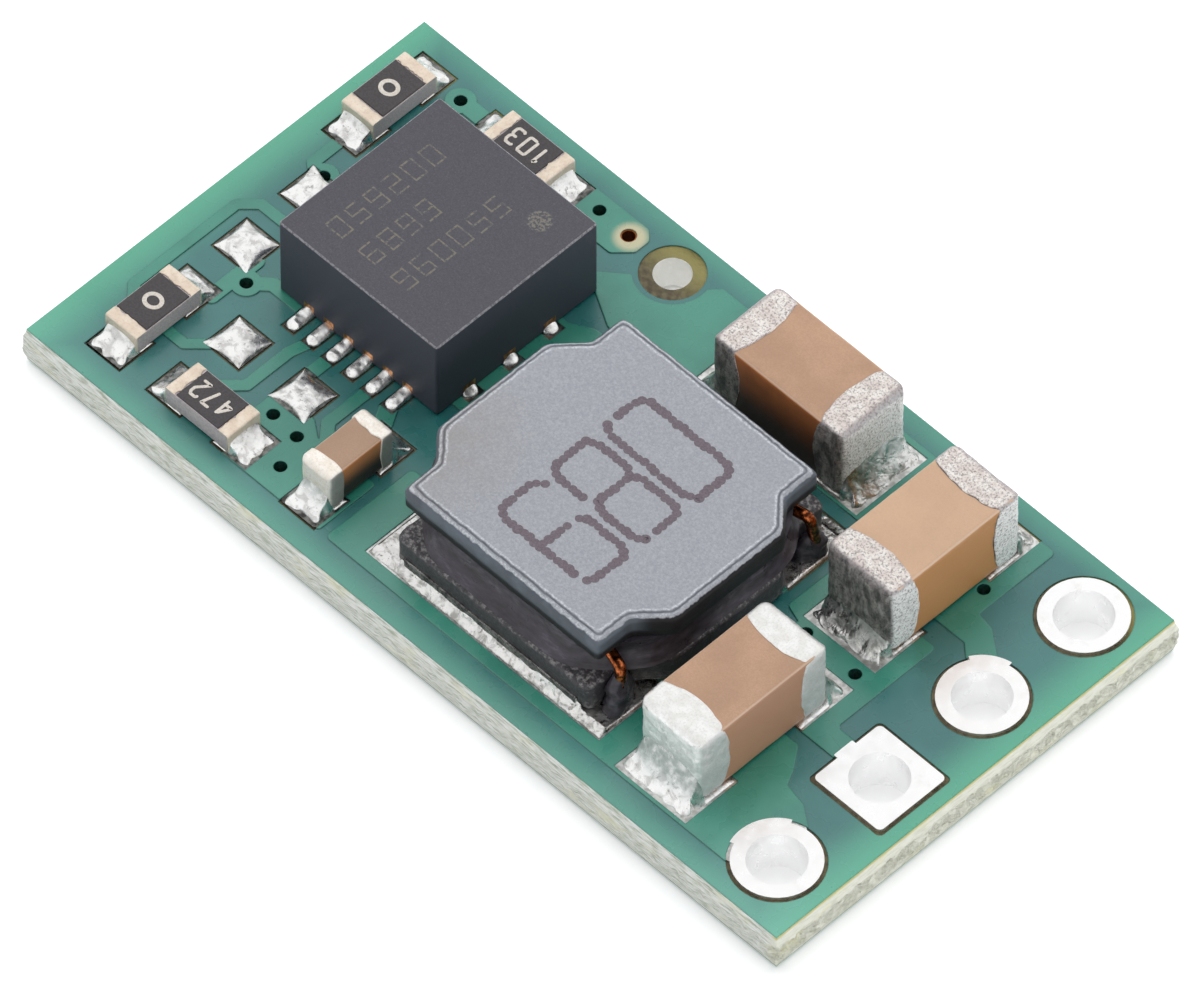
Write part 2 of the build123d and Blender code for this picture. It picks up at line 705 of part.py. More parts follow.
def build_chips():
    """The capacitors and resistors, each with its ends and its solder."""
    for name, (chip, height, at, angle) in capacitors.items():
        body, end_a, end_b = capacitor(chip, height)
        joints = chip_solder(chip, height, cap_solder_climb, body + end_a + end_b)
        pieces = {"body": body, "end_a": end_a, "end_b": end_b}
        for label, piece in pieces.items():
            write(f"{name}_{label}", placed(piece, at, angle, copper_top))
        write(f"{name}_solder", [placed(largest(joint), at, angle, copper_top) for joint in joints])
    for name, (chip, height, at, angle) in resistors.items():
        body, coat, end_a, end_b = resistor(chip, height)
        joints = chip_solder(chip, height, wrap_solder_climb, body + end_a + end_b)
        pieces = {"substrate": body, "overcoat": coat, "end_a": end_a, "end_b": end_b}
        for label, piece in pieces.items():
            write(f"{name}_{label}", placed(piece, at, angle, copper_top))
        write(f"{name}_solder", [placed(largest(joint), at, angle, copper_top) for joint in joints])


def build_regulator():
    """Package, leads and solder."""
    leads = regulator_lead_solids()
    write("regulator_body", regulator_body(leads))
    write("regulator_leads", leads)
    write("regulator_solder", regulator_solder_solids())


def build_inductor():
    """Core, winding, resin, electrodes and solder."""
    core = inductor_core()
    winding = inductor_winding()
    electrodes = [electrode(core) - winding, Rot(0, 0, 180) * electrode(core) - winding]
    joints = [inductor_joint(electrodes[0] + winding),
              Rot(0, 0, 180) * inductor_joint(Rot(0, 0, 180) * (electrodes[1] + winding))]
    pieces = {
        "inductor_core": core,
        "inductor_winding": winding,
        "inductor_resin": largest(inductor_resin(core, winding)),
        "inductor_electrode_a": largest(electrodes[0]),
        "inductor_electrode_b": largest(electrodes[1]),
    }
    for name, piece in pieces.items():
        write(name, placed(piece, inductor_at, 0, board_face))
    write("inductor_solder", [placed(largest(joint), inductor_at, 0, board_face) for joint in joints])


os.makedirs("parts", exist_ok=True)
build_board()
build_chips()
build_regulator()
build_inductor()
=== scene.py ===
import math
from itertools import product

import bpy
import bmesh
import numpy as np
from mathutils import Matrix


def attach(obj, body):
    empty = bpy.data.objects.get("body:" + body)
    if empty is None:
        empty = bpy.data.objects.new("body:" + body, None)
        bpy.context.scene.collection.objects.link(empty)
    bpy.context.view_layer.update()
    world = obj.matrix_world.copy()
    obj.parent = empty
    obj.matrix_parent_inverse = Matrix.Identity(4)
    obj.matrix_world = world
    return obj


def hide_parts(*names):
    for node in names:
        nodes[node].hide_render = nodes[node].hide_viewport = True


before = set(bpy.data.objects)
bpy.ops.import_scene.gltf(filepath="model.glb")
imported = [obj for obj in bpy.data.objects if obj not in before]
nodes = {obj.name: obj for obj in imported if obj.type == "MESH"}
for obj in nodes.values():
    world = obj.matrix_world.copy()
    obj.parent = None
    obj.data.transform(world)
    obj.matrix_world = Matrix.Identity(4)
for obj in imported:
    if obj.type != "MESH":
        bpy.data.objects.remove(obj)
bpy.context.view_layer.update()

# Sizes of the module in millimetres; pieces are worked out in millimetres and scaled to metres as they are made.
# Heights are above the board's underside.
MM = 0.001
face_half = (9.425, 4.94)
web_reach = 0.10
core_top = 0.855
copper_top = 0.89
bare_mask_top = 0.885
board_face = 0.91
pad_top = 0.93
terminal_x = 8.255
terminal_rows = [-3.76, -1.22, 1.32, 3.86]
solder_gap = 0.03
open_via = (-3.40, 4.12)
locating_hole = (-2.27, 4.10)
regulator_at = (-4.91, 0.87)
regulator_half = 2.0
first_lead_dot = (-3.67, 2.17)
inductor_at = (1.27, -0.94)
flange_top = 1.90
# Of each chip: its own size, how far its lands reach past its ends and under it, and past each of its long sides
input_chip = dict(length=3.30, width=1.70, height=1.74, reach=0.39, under=0.83, side=0.0)
output_chip = dict(length=3.20, width=1.60, height=1.65, reach=0.44, under=0.78, side=0.045)
supply_chip = dict(length=1.60, width=0.80, height=0.92, reach=0.435, under=0.385, side=0.010)
resistor_chip = dict(supply_chip, height=0.45)
ALONG_X, ALONG_Y = 0.0, 90.0


# Camera, floor and light

def axes_of_view(azimuth, elevation):
    """Right, up and backward directions of a level camera that stands at an azimuth and elevation in degrees."""
    a, e = math.radians(azimuth), math.radians(elevation)
    back = np.array([math.sin(a) * math.cos(e), -math.cos(a) * math.cos(e), math.sin(e)])
    right = np.cross(-back, [0.0, 0.0, 1.0])
    right /= np.linalg.norm(right)
    return right, np.cross(back, right), back


def stand(thing, right, up, back, place):
    """Put a camera or lamp at a place in mm, turned by its right, up and backward directions."""
    turn = np.eye(4)
    turn[:3, 0], turn[:3, 1], turn[:3, 2], turn[:3, 3] = right, up, back, place * MM
    thing.matrix_world = Matrix(turn.tolist())
    bpy.context.scene.collection.objects.link(thing)


def make_camera():
    """A long lens, half a metre away, aimed at the middle of the board's top face."""
    right, up, back = axes_of_view(45.35, 52.675)
    place = 0.032 * right - 0.352 * up + 494.547 * back + [0, 0, board_face]
    data = bpy.data.cameras.new("camera")
    data.sensor_fit = "HORIZONTAL"
    data.sensor_width = 36.0
    data.lens = 840.0
    data.clip_start = 0.05
    data.clip_end = 5.0
    camera = bpy.data.objects.new("camera", data)
    stand(camera, right, up, back, place)
    bpy.context.scene.camera = camera
    bpy.context.scene.view_settings.view_transform = "Standard"


def softbox(name, azimuth, elevation, distance, size, brightness):
    """A square area lamp that looks at the object from a direction; brightness is its face's radiance. Metal shows
    the white studio round it and not the lamp."""
    right, up, back = axes_of_view(azimuth, elevation)
    data = bpy.data.lights.new(name, "AREA")
    data.shape = "RECTANGLE"
    data.size, data.size_y = size[0] * MM, size[1] * MM
    data.energy = brightness * math.pi * data.size * data.size_y
    lamp = bpy.data.objects.new(name, data)
    lamp.visible_glossy = False
    stand(lamp, right, up, back, back * distance)


def seen_rays(tree):
    """One for the rays by which the background is seen, straight or in metal and gloss, and nought for the rest."""
    path = tree.nodes.new("ShaderNodeLightPath")
    share = path.outputs["Is Camera Ray"]
    for kind in ("Is Glossy Ray", "Is Transmission Ray"):
        either = tree.nodes.new("ShaderNodeMath")
        either.operation = "MAXIMUM"
        tree.links.new(share, either.inputs[0])
        tree.links.new(path.outputs[kind], either.inputs[1])
        share = either.outputs[0]
    return share


def make_studio():
    """Plain white floor under soft lamps behind and above the object; what the camera sees past it is white."""
    world = bpy.data.worlds.new("studio")
    bpy.context.scene.world = world
    world.use_nodes = True
    tree = world.node_tree
    light = tree.nodes["Background"]
    light.inputs["Color"].default_value = (0.93, 0.96, 1.0, 1.0)
    light.inputs["Strength"].default_value = 0.62
    seen = tree.nodes.new("ShaderNodeBackground")
    seen.inputs["Color"].default_value = (1.0, 1.0, 1.0, 1.0)
    seen.inputs["Strength"].default_value = 1.0
    either = tree.nodes.new("ShaderNodeMixShader")
    tree.links.new(seen_rays(tree), either.inputs["Fac"])
    tree.links.new(light.outputs["Background"], either.inputs[1])
    tree.links.new(seen.outputs["Background"], either.inputs[2])
    tree.links.new(either.outputs["Shader"], tree.nodes["World Output"].inputs["Surface"])
    softbox("lamp_behind", 225.35, 58.0, 90.0, (170.0, 105.0), 1.05)
    softbox("lamp_above", 200.0, 86.0, 100.0, (90.0, 90.0), 0.70)
    softbox("lamp_side", 98.0, 18.0, 100.0, (100.0, 60.0), 0.75)

    mesh = bpy.data.meshes.new("floor")
    half, height = 0.5, -2e-5
    corners = [(-half, -half, height), (half, -half, height), (half, half, height), (-half, half, height)]
    mesh.from_pydata(corners, [], [(0, 1, 2, 3)])
    floor = bpy.data.objects.new("floor", mesh)
    bpy.context.scene.collection.objects.link(floor)
    paper = Finish("floor_paper")
    paper.set(roughness=0.9, specular=0.0)
    paper.shader.inputs["Base Color"].default_value = (0.93, 0.93, 0.93, 1.0)
    paper.shader.inputs["Emission Color"].default_value = (1.0, 1.0, 1.0, 1.0)
    paper.link(paper.times(seen_rays(paper.tree), 0.26), "Emission Strength")
    mesh.materials.append(paper.material)


# Materials

def paint(hexed):
    """A colour written as six hex digits, as the linear values that shaders take."""
    shares = np.array([int(hexed[i:i + 2], 16) / 255 for i in (0, 2, 4)])
    linear = np.where(shares <= 0.04045, shares / 12.92, ((shares + 0.055) / 1.055) ** 2.4)
    return (*linear.tolist(), 1.0)


class Finish:
    """A material and its node tree, with a short call for each kind of node used on this part."""

    def __init__(self, name):
        self.material = bpy.data.materials.new(name)
        self.material.use_nodes = True
        self.tree = self.material.node_tree
        self.shader = self.tree.nodes["Principled BSDF"]
        self.place = self.put("ShaderNodeTexCoord").outputs["Object"]

    def put(self, kind, inputs=None, **settings):
        node = self.tree.nodes.new(kind)
        for key, value in settings.items():
            setattr(node, key, value)
        for key, value in (inputs or {}).items():
            if isinstance(value, bpy.types.NodeSocket):
                self.tree.links.new(value, node.inputs[key])
            else:
                node.inputs[key].default_value = value
        return node

    def set(self, metallic=0.0, roughness=0.5, specular=0.5):
        for socket, value in (("Metallic", metallic), ("Roughness", roughness), ("Specular IOR Level", specular)):
            self.shader.inputs[socket].default_value = value

    def link(self, value, socket):
        self.tree.links.new(value, self.shader.inputs[socket])

    def noise(self, size, detail=2.0, roughness=0.5, stretch=(1, 1, 1), warp=0.0):
        """Noise whose cells are about size mm across, drawn out by stretch along each axis."""
        place = self.place
        if stretch != (1, 1, 1):
            place = self.put("ShaderNodeMapping", {"Vector": place, "Scale": tuple(1 / s for s in stretch)}).outputs[0]
        return self.put("ShaderNodeTexNoise", {"Vector": place, "Scale": 1 / (size * MM), "Detail": detail,
                                               "Roughness": roughness, "Distortion": warp}).outputs["Fac"]

    def maths(self, operation, a, b=0.0, clamp=False):
        return self.put("ShaderNodeMath", {0: a, 1: b}, operation=operation, use_clamp=clamp).outputs[0]

    def times(self, a, b):
        return self.maths("MULTIPLY", a, b)

    def rise(self, value, low, high, start=0.0, end=1.0):
        """Smoothly from start to end as the value goes from low to high."""
        return self.put("ShaderNodeMapRange", {"Value": value, "From Min": low, "From Max": high, "To Min": start,
                                               "To Max": end}, interpolation_type="SMOOTHSTEP").outputs["Result"]

    def fall(self, value, low, high):
        """Smoothly from one to nought as the value goes from low to high."""
        return self.rise(value, low, high, 1.0, 0.0)

    def band(self, value, *stops):
        """Up to one between the first two stops and down again between the other two."""
        return self.times(self.rise(value, *stops[:2]), self.fall(value, *stops[2:]))

    def ramp(self, value, stops):
        """A colour for each stop's position, blended between them."""
        node = self.put("ShaderNodeValToRGB", {"Fac": value})
        band = node.color_ramp
        while len(band.elements) < len(stops):
            band.elements.new(0.5)
        for element, (position, colour) in zip(band.elements, stops):
            element.position = position
            element.color = paint(colour)
        return node.outputs["Color"]

    def mix(self, share, a, b):
        """From colour a to colour b, each of them another node's or six hex digits."""
        a, b = (paint(colour) if isinstance(colour, str) else colour for colour in (a, b))
        return self.put("ShaderNodeMix", {0: share, 6: a, 7: b}, data_type="RGBA").outputs[2]

    def mottle(self, a, b, *noise):
        """Two colours in cloudy patches."""
        return self.mix(self.rise(self.noise(*noise), 0.35, 0.65), a, b)

    def axis(self, letter):
        """One of the X, Y, Z coordinates, in mm."""
        found = self.put("ShaderNodeSeparateXYZ", {0: self.place}).outputs[letter]
        return self.times(found, 1 / MM)

    def facing(self, letter, kind="Normal"):
        """One coordinate of the surface's outward direction."""
        return self.put("ShaderNodeSeparateXYZ", {0: self.put("ShaderNodeNewGeometry").outputs[kind]}).outputs[letter]

    def away(self, x, y):
        """Distance from the upright axis through x and y, in mm."""
        across, along = self.maths("SUBTRACT", self.axis("X"), x), self.maths("SUBTRACT", self.axis("Y"), y)
        return self.maths("SQRT", self.maths("ADD", self.times(across, across), self.times(along, along)))

    def near(self, value, middle, reach):
        """One where the value lies within reach of the middle."""
        return self.put("ShaderNodeMath", {0: value, 1: middle, 2: reach}, operation="COMPARE").outputs[0]

    def bump(self, height, depth, normal=None):
        """Bumps depth mm deep."""
        inputs = {"Height": height, "Distance": depth * MM, "Strength": 1.0}
        if normal is not None:
            inputs["Normal"] = normal
        return self.put("ShaderNodeBump", inputs).outputs["Normal"]

    def colour(self, value):
        self.link(value, "Base Color")

    def gloss(self, low, high, *noise):
        """Roughness that wavers between low and high."""
        self.link(self.rise(self.noise(*noise), 0.3, 0.7, low, high), "Roughness")

    def relief(self, normal):
        self.link(normal, "Normal")


def mask_finish():
    """Green solder mask: greyer and bluer over bare core, greener over copper, with painted light that brightens it
    by the board's edges and towards its front corner, a painted shade line where it steps down, and fine unevenness
    in gloss."""
    f = Finish("solder_mask_green")
    f.set(specular=1.0)
    z = f.axis("Z")
    over_copper = f.maths("MAXIMUM", f.rise(z, bare_mask_top + 0.004, board_face - 0.006),
                          f.fall(z, 0.006, 0.019))
    mottle = f.noise(1.4, 3.0)
    bare = f.mix(f.rise(mottle, 0.35, 0.7), "1F6462", "2B706C")
    covered = f.mix(f.rise(mottle, 0.3, 0.7), "237766", "348974")
    x_gap = f.maths("SUBTRACT", face_half[0], f.maths("ABSOLUTE", f.axis("X")))
    y_gap = f.maths("SUBTRACT", face_half[1], f.maths("ABSOLUTE", f.axis("Y")))
    # Painted light: bare mask is painted lighter towards the board's ends and sides, light showing through the edges.
    near_end = f.rise(x_gap, 0.0, 1.05, 0.9, 0.0)
    near_side = f.rise(y_gap, 0.0, 0.55, 0.45, 0.0)
    edge_painted_light = f.maths("MAXIMUM", near_end, near_side)
    bare = f.mix(edge_painted_light, bare, "4AA585")
    tone = f.mix(over_copper, bare, covered)
    # Painted light: the mask is painted lighter towards the -Y edge and the front corner (+X, -Y).
    front = f.maths("ADD", f.rise(f.axis("Y"), -face_half[1], -3.4, 0.14, 0.0),
                    f.rise(f.away(face_half[0], -face_half[1]), 0.0, 3.6, 0.22, 0.0))
    tone = f.mix(front, tone, "7CC4B0")
    thin = f.times(over_copper, f.rise(f.away(open_via[0] + 0.05, open_via[1]), 0.20, 0.40, 0.85, 0.0))
    tone = f.mix(thin, tone, "C9BE98")
    cut = f.facing("Z", "True Normal")
    cut = f.times(f.rise(f.maths("ABSOLUTE", cut), 0.3, 0.6, 0.85, 0.0), f.fall(z, 0.06, 0.10))
    tone = f.mix(cut, tone, "C9CEBB")
    # Painted shade: ambient occlusion darkens the mask at the foot of each step.
    corner = f.put("ShaderNodeAmbientOcclusion", {"Distance": 0.07 * MM}, samples=6, only_local=True).outputs["AO"]
    tone = f.mix(f.rise(corner, 0.45, 0.95, 0.30, 0.0), tone, "14504A")
    f.colour(tone)
    f.gloss(0.22, 0.36, 0.5)
    soft = f.put("ShaderNodeBevel", {"Radius": 0.035 * MM}, samples=4).outputs["Normal"]
    f.relief(f.bump(f.noise(0.10, 3.0), 0.0012, soft))
    return f.material


def laminate_finish():
    """Glass-epoxy core: dark olive on its drilled and open faces, pale grey-green and fibrous on the broken rim, with
    painted shade in the crevices of its web and painted light that whitens the rim towards the +X end.
    """
    f = Finish("glass_epoxy")
    f.set(roughness=0.62, specular=0.4)
    normal_z = f.facing("Z", "True Normal")
    flat = f.rise(f.maths("ABSOLUTE", normal_z), 0.9, 0.98)
    fibres = f.noise(0.035, 3.0, 0.6, stretch=(9, 9, 1))
    patches = f.noise(0.35, 3.0, 0.6, stretch=(3, 3, 1))
    rim = f.ramp(f.rise(fibres, 0.25, 0.75), [(0.0, "A8AE9C"), (0.35, "D8DBCD"), (0.6, "EDEFE6"), (1.0, "FCFCF8")])
    yellowed = f.maths("ADD", f.rise(patches, 0.52, 0.75, 0.0, 0.6), f.rise(f.axis("X"), 9.1, 9.5, 0.0, 0.25))
    # Painted light: the rim is painted whiter towards the +X end.
    rim = f.mix(f.rise(f.axis("X"), 9.1, 9.4, 0.0, 0.5), rim, "FFFFF6")
    z = f.axis("Z")
    web = f.times(f.fall(z, 0.56, 0.62), f.rise(f.axis("X"), 9.2, 9.35, 0.35, 1.0))
    lumps = f.noise(0.13, 4.0, 0.65, stretch=(1.6, 1.6, 1))
    chunks = f.times(f.rise(lumps, 0.30, 0.62), web)
    # Painted shade: the crevices between the lumps of the web are painted darker.
    rim = f.mix(f.times(f.rise(lumps, 0.32, 0.50, 0.55, 0.0), web), rim, "B9C0A6")
    rim = f.mix(yellowed, rim, "F4F1C9")
    face = f.mix(f.rise(f.noise(0.12, 3.0), 0.3, 0.7), "4A4231", "6B6249")
    away = f.away(*locating_hole)
    rim = f.mix(f.fall(away, 0.7, 0.9), rim, "FDFDFA")
    lip = f.times(f.rise(z, 0.800, 0.845), f.rise(f.axis("X"), 9.30, 9.40))
    rim = f.mix(lip, rim, "D8CB7E")
    high = f.rise(f.axis("Y"), 3.7, 4.6)
    face = f.mix(high, face, "8C8450")
    f.colour(f.mix(flat, rim, face))
    f.link(f.times(f.maths("SUBTRACT", 1.0, flat), f.rise(away, 0.7, 0.9, 0.95, 0.0)), "Metallic")
    f.relief(f.bump(chunks, 0.045, f.bump(f.noise(0.03, 4.0, 0.65, stretch=(6, 6, 1)), 0.035)))
    return f.material


def tin_finish():
    """Bright level tin on the terminal pads and in their barrels, faintly rippled, a little brown at one place."""
    f = Finish("terminal_tin")
    f.set(metallic=1.0)
    stain = f.rise(f.noise(0.45, 4.0, 0.6), 0.55, 0.75)
    f.colour(f.mix(f.times(stain, 0.25), "FFFFFF", "D8D3CE"))
    f.gloss(0.26, 0.42, 0.25, 2.0)
    f.relief(f.bump(f.noise(0.22, 3.0), 0.006))
    return f.material


def solder_finish(name, bright, dull, lumps, grain, specks):
    """Reflowed solder: bright metal with duller frosted patches and dark specks, rippled by its own cooling, and
    painted greyer the higher it has climbed, a painted shade where it nears the chip."""
    f = Finish(name)
    f.set(metallic=1.0)
    frost = f.rise(f.noise(0.20, 3.0, 0.6, warp=0.6), 0.44, 0.66)
    speck = f.times(f.rise(f.noise(0.07, 3.0, 0.6), 0.56, 0.68), f.rise(f.noise(0.3, 2.0), 0.42, 0.62, 0.0, specks))
    tone = f.mix(speck, f.mix(frost, bright, dull), "55534F")
    # Painted shade: the solder is painted greyer the higher it climbs towards the chip.
    climbed = f.rise(f.axis("Z"), board_face + 0.08, board_face + 0.48)
    f.colour(f.mix(f.times(climbed, f.rise(f.noise(0.15, 3.0), 0.3, 0.6, 0.5, 0.9)), tone, "929A96"))
    f.gloss(0.22, 0.45, 0.14, 3.0)
    f.relief(f.bump(f.noise(0.06, 2.0, 0.5), grain, f.bump(f.noise(0.22, 2.0, 0.5, warp=0.8), lumps)))
    return f.material


def end_cap_finish(name, light, dark, pink, grain, speckle, painted_light_and_edge_share=0.0, metallic=0.7, painted_x_shade=0.0):
    """Plated end of a capacitor: matt tin grown in coarse grains, with dark pits between them and darker along its
    bent edges. Painted shade darkens the side that faces -Y in streaks; on the side that faces +X painted light
    brightens it and a painted shade greys it, each by its own share."""
    f = Finish(name)
    grains = f.noise(0.045, 4.0, 0.75)
    pits = f.rise(grains, 0.45, 0.66, 0.0, speckle)
    towards_x = f.rise(f.facing("X"), 0.5, 0.9)
    tone = f.mottle(light, pink, 0.20, 3.0)
    # Painted light: the side facing +X is painted brighter.
    tone = f.mix(f.times(towards_x, painted_light_and_edge_share), tone, "FFFFFD")
    tone = f.mix(pits, tone, dark)
    bent = f.band(f.facing("Z"), 0.20, 0.50, 0.82, 0.98)
    tone = f.mix(f.times(bent, 0.6 * painted_light_and_edge_share), tone, "857D83")
    f.link(f.rise(f.facing("X"), 0.5, 0.9, metallic, 0.45 * metallic), "Metallic")
    # Painted shade: the side facing -Y is painted dark, broken up in streaks.
    streaks = f.rise(f.noise(0.16, 4.0, 0.6, stretch=(1, 1, 3)), 0.34, 0.66, 1.0, 0.45)
    painted_y_shade = f.times(f.fall(f.facing("Y"), -0.85, -0.35), f.times(streaks, painted_light_and_edge_share))
    tone = f.mix(painted_y_shade, tone, "2C2E2D")
    # Painted shade: the side facing +X is painted a darker green-grey.
    f.colour(f.mix(f.times(towards_x, painted_x_shade), tone, "4E5654"))
    f.gloss(0.36, 0.56, 0.08, 3.0)
    f.relief(f.bump(grains, grain, f.bump(f.noise(0.14, 3.0), 0.010)))
    return f.material


def ceramic_finish():
    """Fired brown ceramic of the capacitor bodies, with a fine even grain and a slight sheen. Light and shade are
    painted
    on it: a warmer tone on the upright sides, painted shade with a painted glow along the top on the sides that face
    -Y and on the small capacitor's +X side, and a painted highlight on the rounded edges.
    """
    f = Finish("capacitor_ceramic")
    f.set(roughness=0.42, specular=0.4)
    cloud = f.rise(f.noise(0.9, 3.0), 0.3, 0.7)
    grain = f.rise(f.noise(0.03, 2.0), 0.35, 0.65)
    tone = f.mix(cloud, "AE8A70", "BC967A")
    tone = f.mix(f.times(grain, 0.25), tone, "9A7558")
    pale = f.times(f.rise(f.axis("X"), 3.9, 4.3), f.rise(f.axis("Y"), 0.0, 0.5))
    tone = f.mix(f.times(pale, 0.4), tone, "DDBB9A")
    # Painted light: the upright sides are painted a warmer, more orange tone than the top.
    upright = f.fall(f.facing("Z"), 0.25, 0.75)
    tone = f.mix(upright, tone, f.mix(f.rise(f.axis("Y"), -0.6, 0.6), "B08468", "BC8756"))
    # Painted shade and painted light: the sides facing -Y are painted dark (burnt), with a painted glow along the top.
    far_end = f.rise(f.axis("X"), 0.6, 3.0, 1.0, 0.55)
    glow = f.times(f.rise(f.axis("Z"), 1.35, 2.60), f.times(far_end, f.rise(f.noise(0.6, 3.0), 0.25, 0.6, 0.7, 1.0)))
    burnt = f.mix(glow, "38221A", "D08048")
    tone = f.mix(f.fall(f.facing("Y"), -0.8, -0.5), tone, burnt)
    small = f.fall(f.axis("X"), -1.6, -1.2)
    tone = f.mix(f.times(small, 0.35), tone, "8C7868")
    # Painted shade and painted light: the small capacitor's +X side is painted dark low down and glowing near its top.
    painted_shade_and_glow = f.mix(f.rise(f.axis("Z"), 1.20, 1.78), "2E2722", "C98350")
    tone = f.mix(f.times(small, f.rise(f.facing("X"), 0.5, 0.8)), tone, painted_shade_and_glow)
    # Painted highlight on the rounded edges.
    rounded = f.band(f.facing("Z"), 0.35, 0.6, 0.8, 0.97)
    f.colour(f.mix(f.times(rounded, 0.45), tone, "E2C9B2"))
    f.relief(f.bump(f.noise(0.035, 3.0), 0.004))
    return f.material


def numeral_rows(f):
    """Three rows of plain thin numerals, read along -Y: each place in a row has a box with strokes along its three
    levels and its four half sides, and a random number for the place says which of the strokes are there."""
    first_column, first_row, pitch, row_pitch, width, height = 2.035, -6.345, 0.459, 0.825, 0.27, 0.42
    column = f.times(f.maths("SUBTRACT", first_column, f.axis("Y")), 1 / pitch)
    row = f.times(f.maths("SUBTRACT", f.axis("X"), first_row), 1 / row_pitch)
    place_column, place_row = f.maths("FLOOR", column), f.maths("FLOOR", row)
    across = f.times(f.maths("SUBTRACT", f.maths("FRACT", column), 0.10), pitch / width)
    up = f.times(f.maths("SUBTRACT", f.maths("FRACT", row), 0.08), row_pitch / height)
    place = f.put("ShaderNodeCombineXYZ", {0: place_column, 1: place_row}).outputs[0]
    pick = f.put("ShaderNodeTexWhiteNoise", {"Vector": place}, noise_dimensions="2D").outputs["Value"]
    level = {"top": 1.0, "middle": 0.5, "foot": 0.0}
    strokes = {name: f.times(f.near(across, 0.5, 0.55), f.near(up, at, 0.045)) for name, at in level.items()}
    for side, at in (("left", 0.0), ("right", 1.0)):
        for half, middle in (("high", 0.75), ("low", 0.25)):
            strokes[half + side] = f.times(f.near(across, at, 0.06), f.near(up, middle, 0.28))
    # Middle and half width, in sevenths, of the range of random numbers that go without a stroke
    without = {"middle": (6.5, 0.5), "highleft": (1.0, 1.0), "lowleft": (2.5, 1.5), "highright": (4.0, 1.0),
               "lowright": (0.5, 0.5)}
    total = f.maths("MAXIMUM", strokes["top"], strokes["foot"])
    for name, (middle, reach) in without.items():
        kept = f.maths("SUBTRACT", 1.0, f.near(pick, middle / 7, reach / 7))
        total = f.maths("MAXIMUM", total, f.times(strokes[name], kept))
    blank = f.times(f.near(place_row, 1.0, 0.1), f.near(place_column, 0.5, 0.6))
    inside = f.times(f.near(place_row, 1.0, 1.1), f.near(place_column, 2.5, 2.6))
    return f.times(total, f.maths("SUBTRACT", inside, blank, clamp=True))


def mould_finish():
    """Moulded package: dark filled plastic with a fine matt grain; a lasered dot marks the first lead. Painted shade
    makes its sides darker and bluer, and a painted highlight runs along its rounded top edges.
    """
    f = Finish("package_mould")
    f.set(roughness=0.55, specular=0.45)
    grain = f.noise(0.028, 3.0, 0.7)
    tone = f.ramp(grain, [(0.3, "3F3E44"), (0.62, "4D4C53"), (0.8, "646369")])
    normal_z = f.facing("Z", "True Normal")
    # Painted shade: the sides are painted darker and bluer than the top.
    side = f.fall(normal_z, 0.2, 0.8)
    tone = f.mix(f.times(side, 0.85), tone, "393C48")
    top_only = f.rise(f.axis("Z"), 2.80, 2.83)
    dot = f.times(f.fall(f.away(*first_lead_dot), 0.20, 0.26), top_only)
    burnt = f.rise(f.noise(0.05, 2.0, 0.6), 0.42, 0.60)
    tone = f.mix(f.times(f.times(dot, burnt), 0.55), tone, "8D8778")
    worn = f.rise(f.noise(0.07, 3.0, 0.7), 0.38, 0.58, 0.05, 0.70)
    tone = f.mix(f.times(f.times(numeral_rows(f), top_only), worn), tone, "807968")
    # Painted highlight along the rounded top edges (rim).
    rim = f.band(normal_z, 0.3, 0.5, 0.85, 0.97)
    f.colour(f.mix(f.times(rim, f.rise(f.noise(0.04, 3.0, 0.7), 0.35, 0.6, 0.1, 0.8)), tone, "99979B"))
    f.relief(f.bump(f.maths("ADD", grain, f.times(dot, f.noise(0.06))), 0.006))
    return f.material


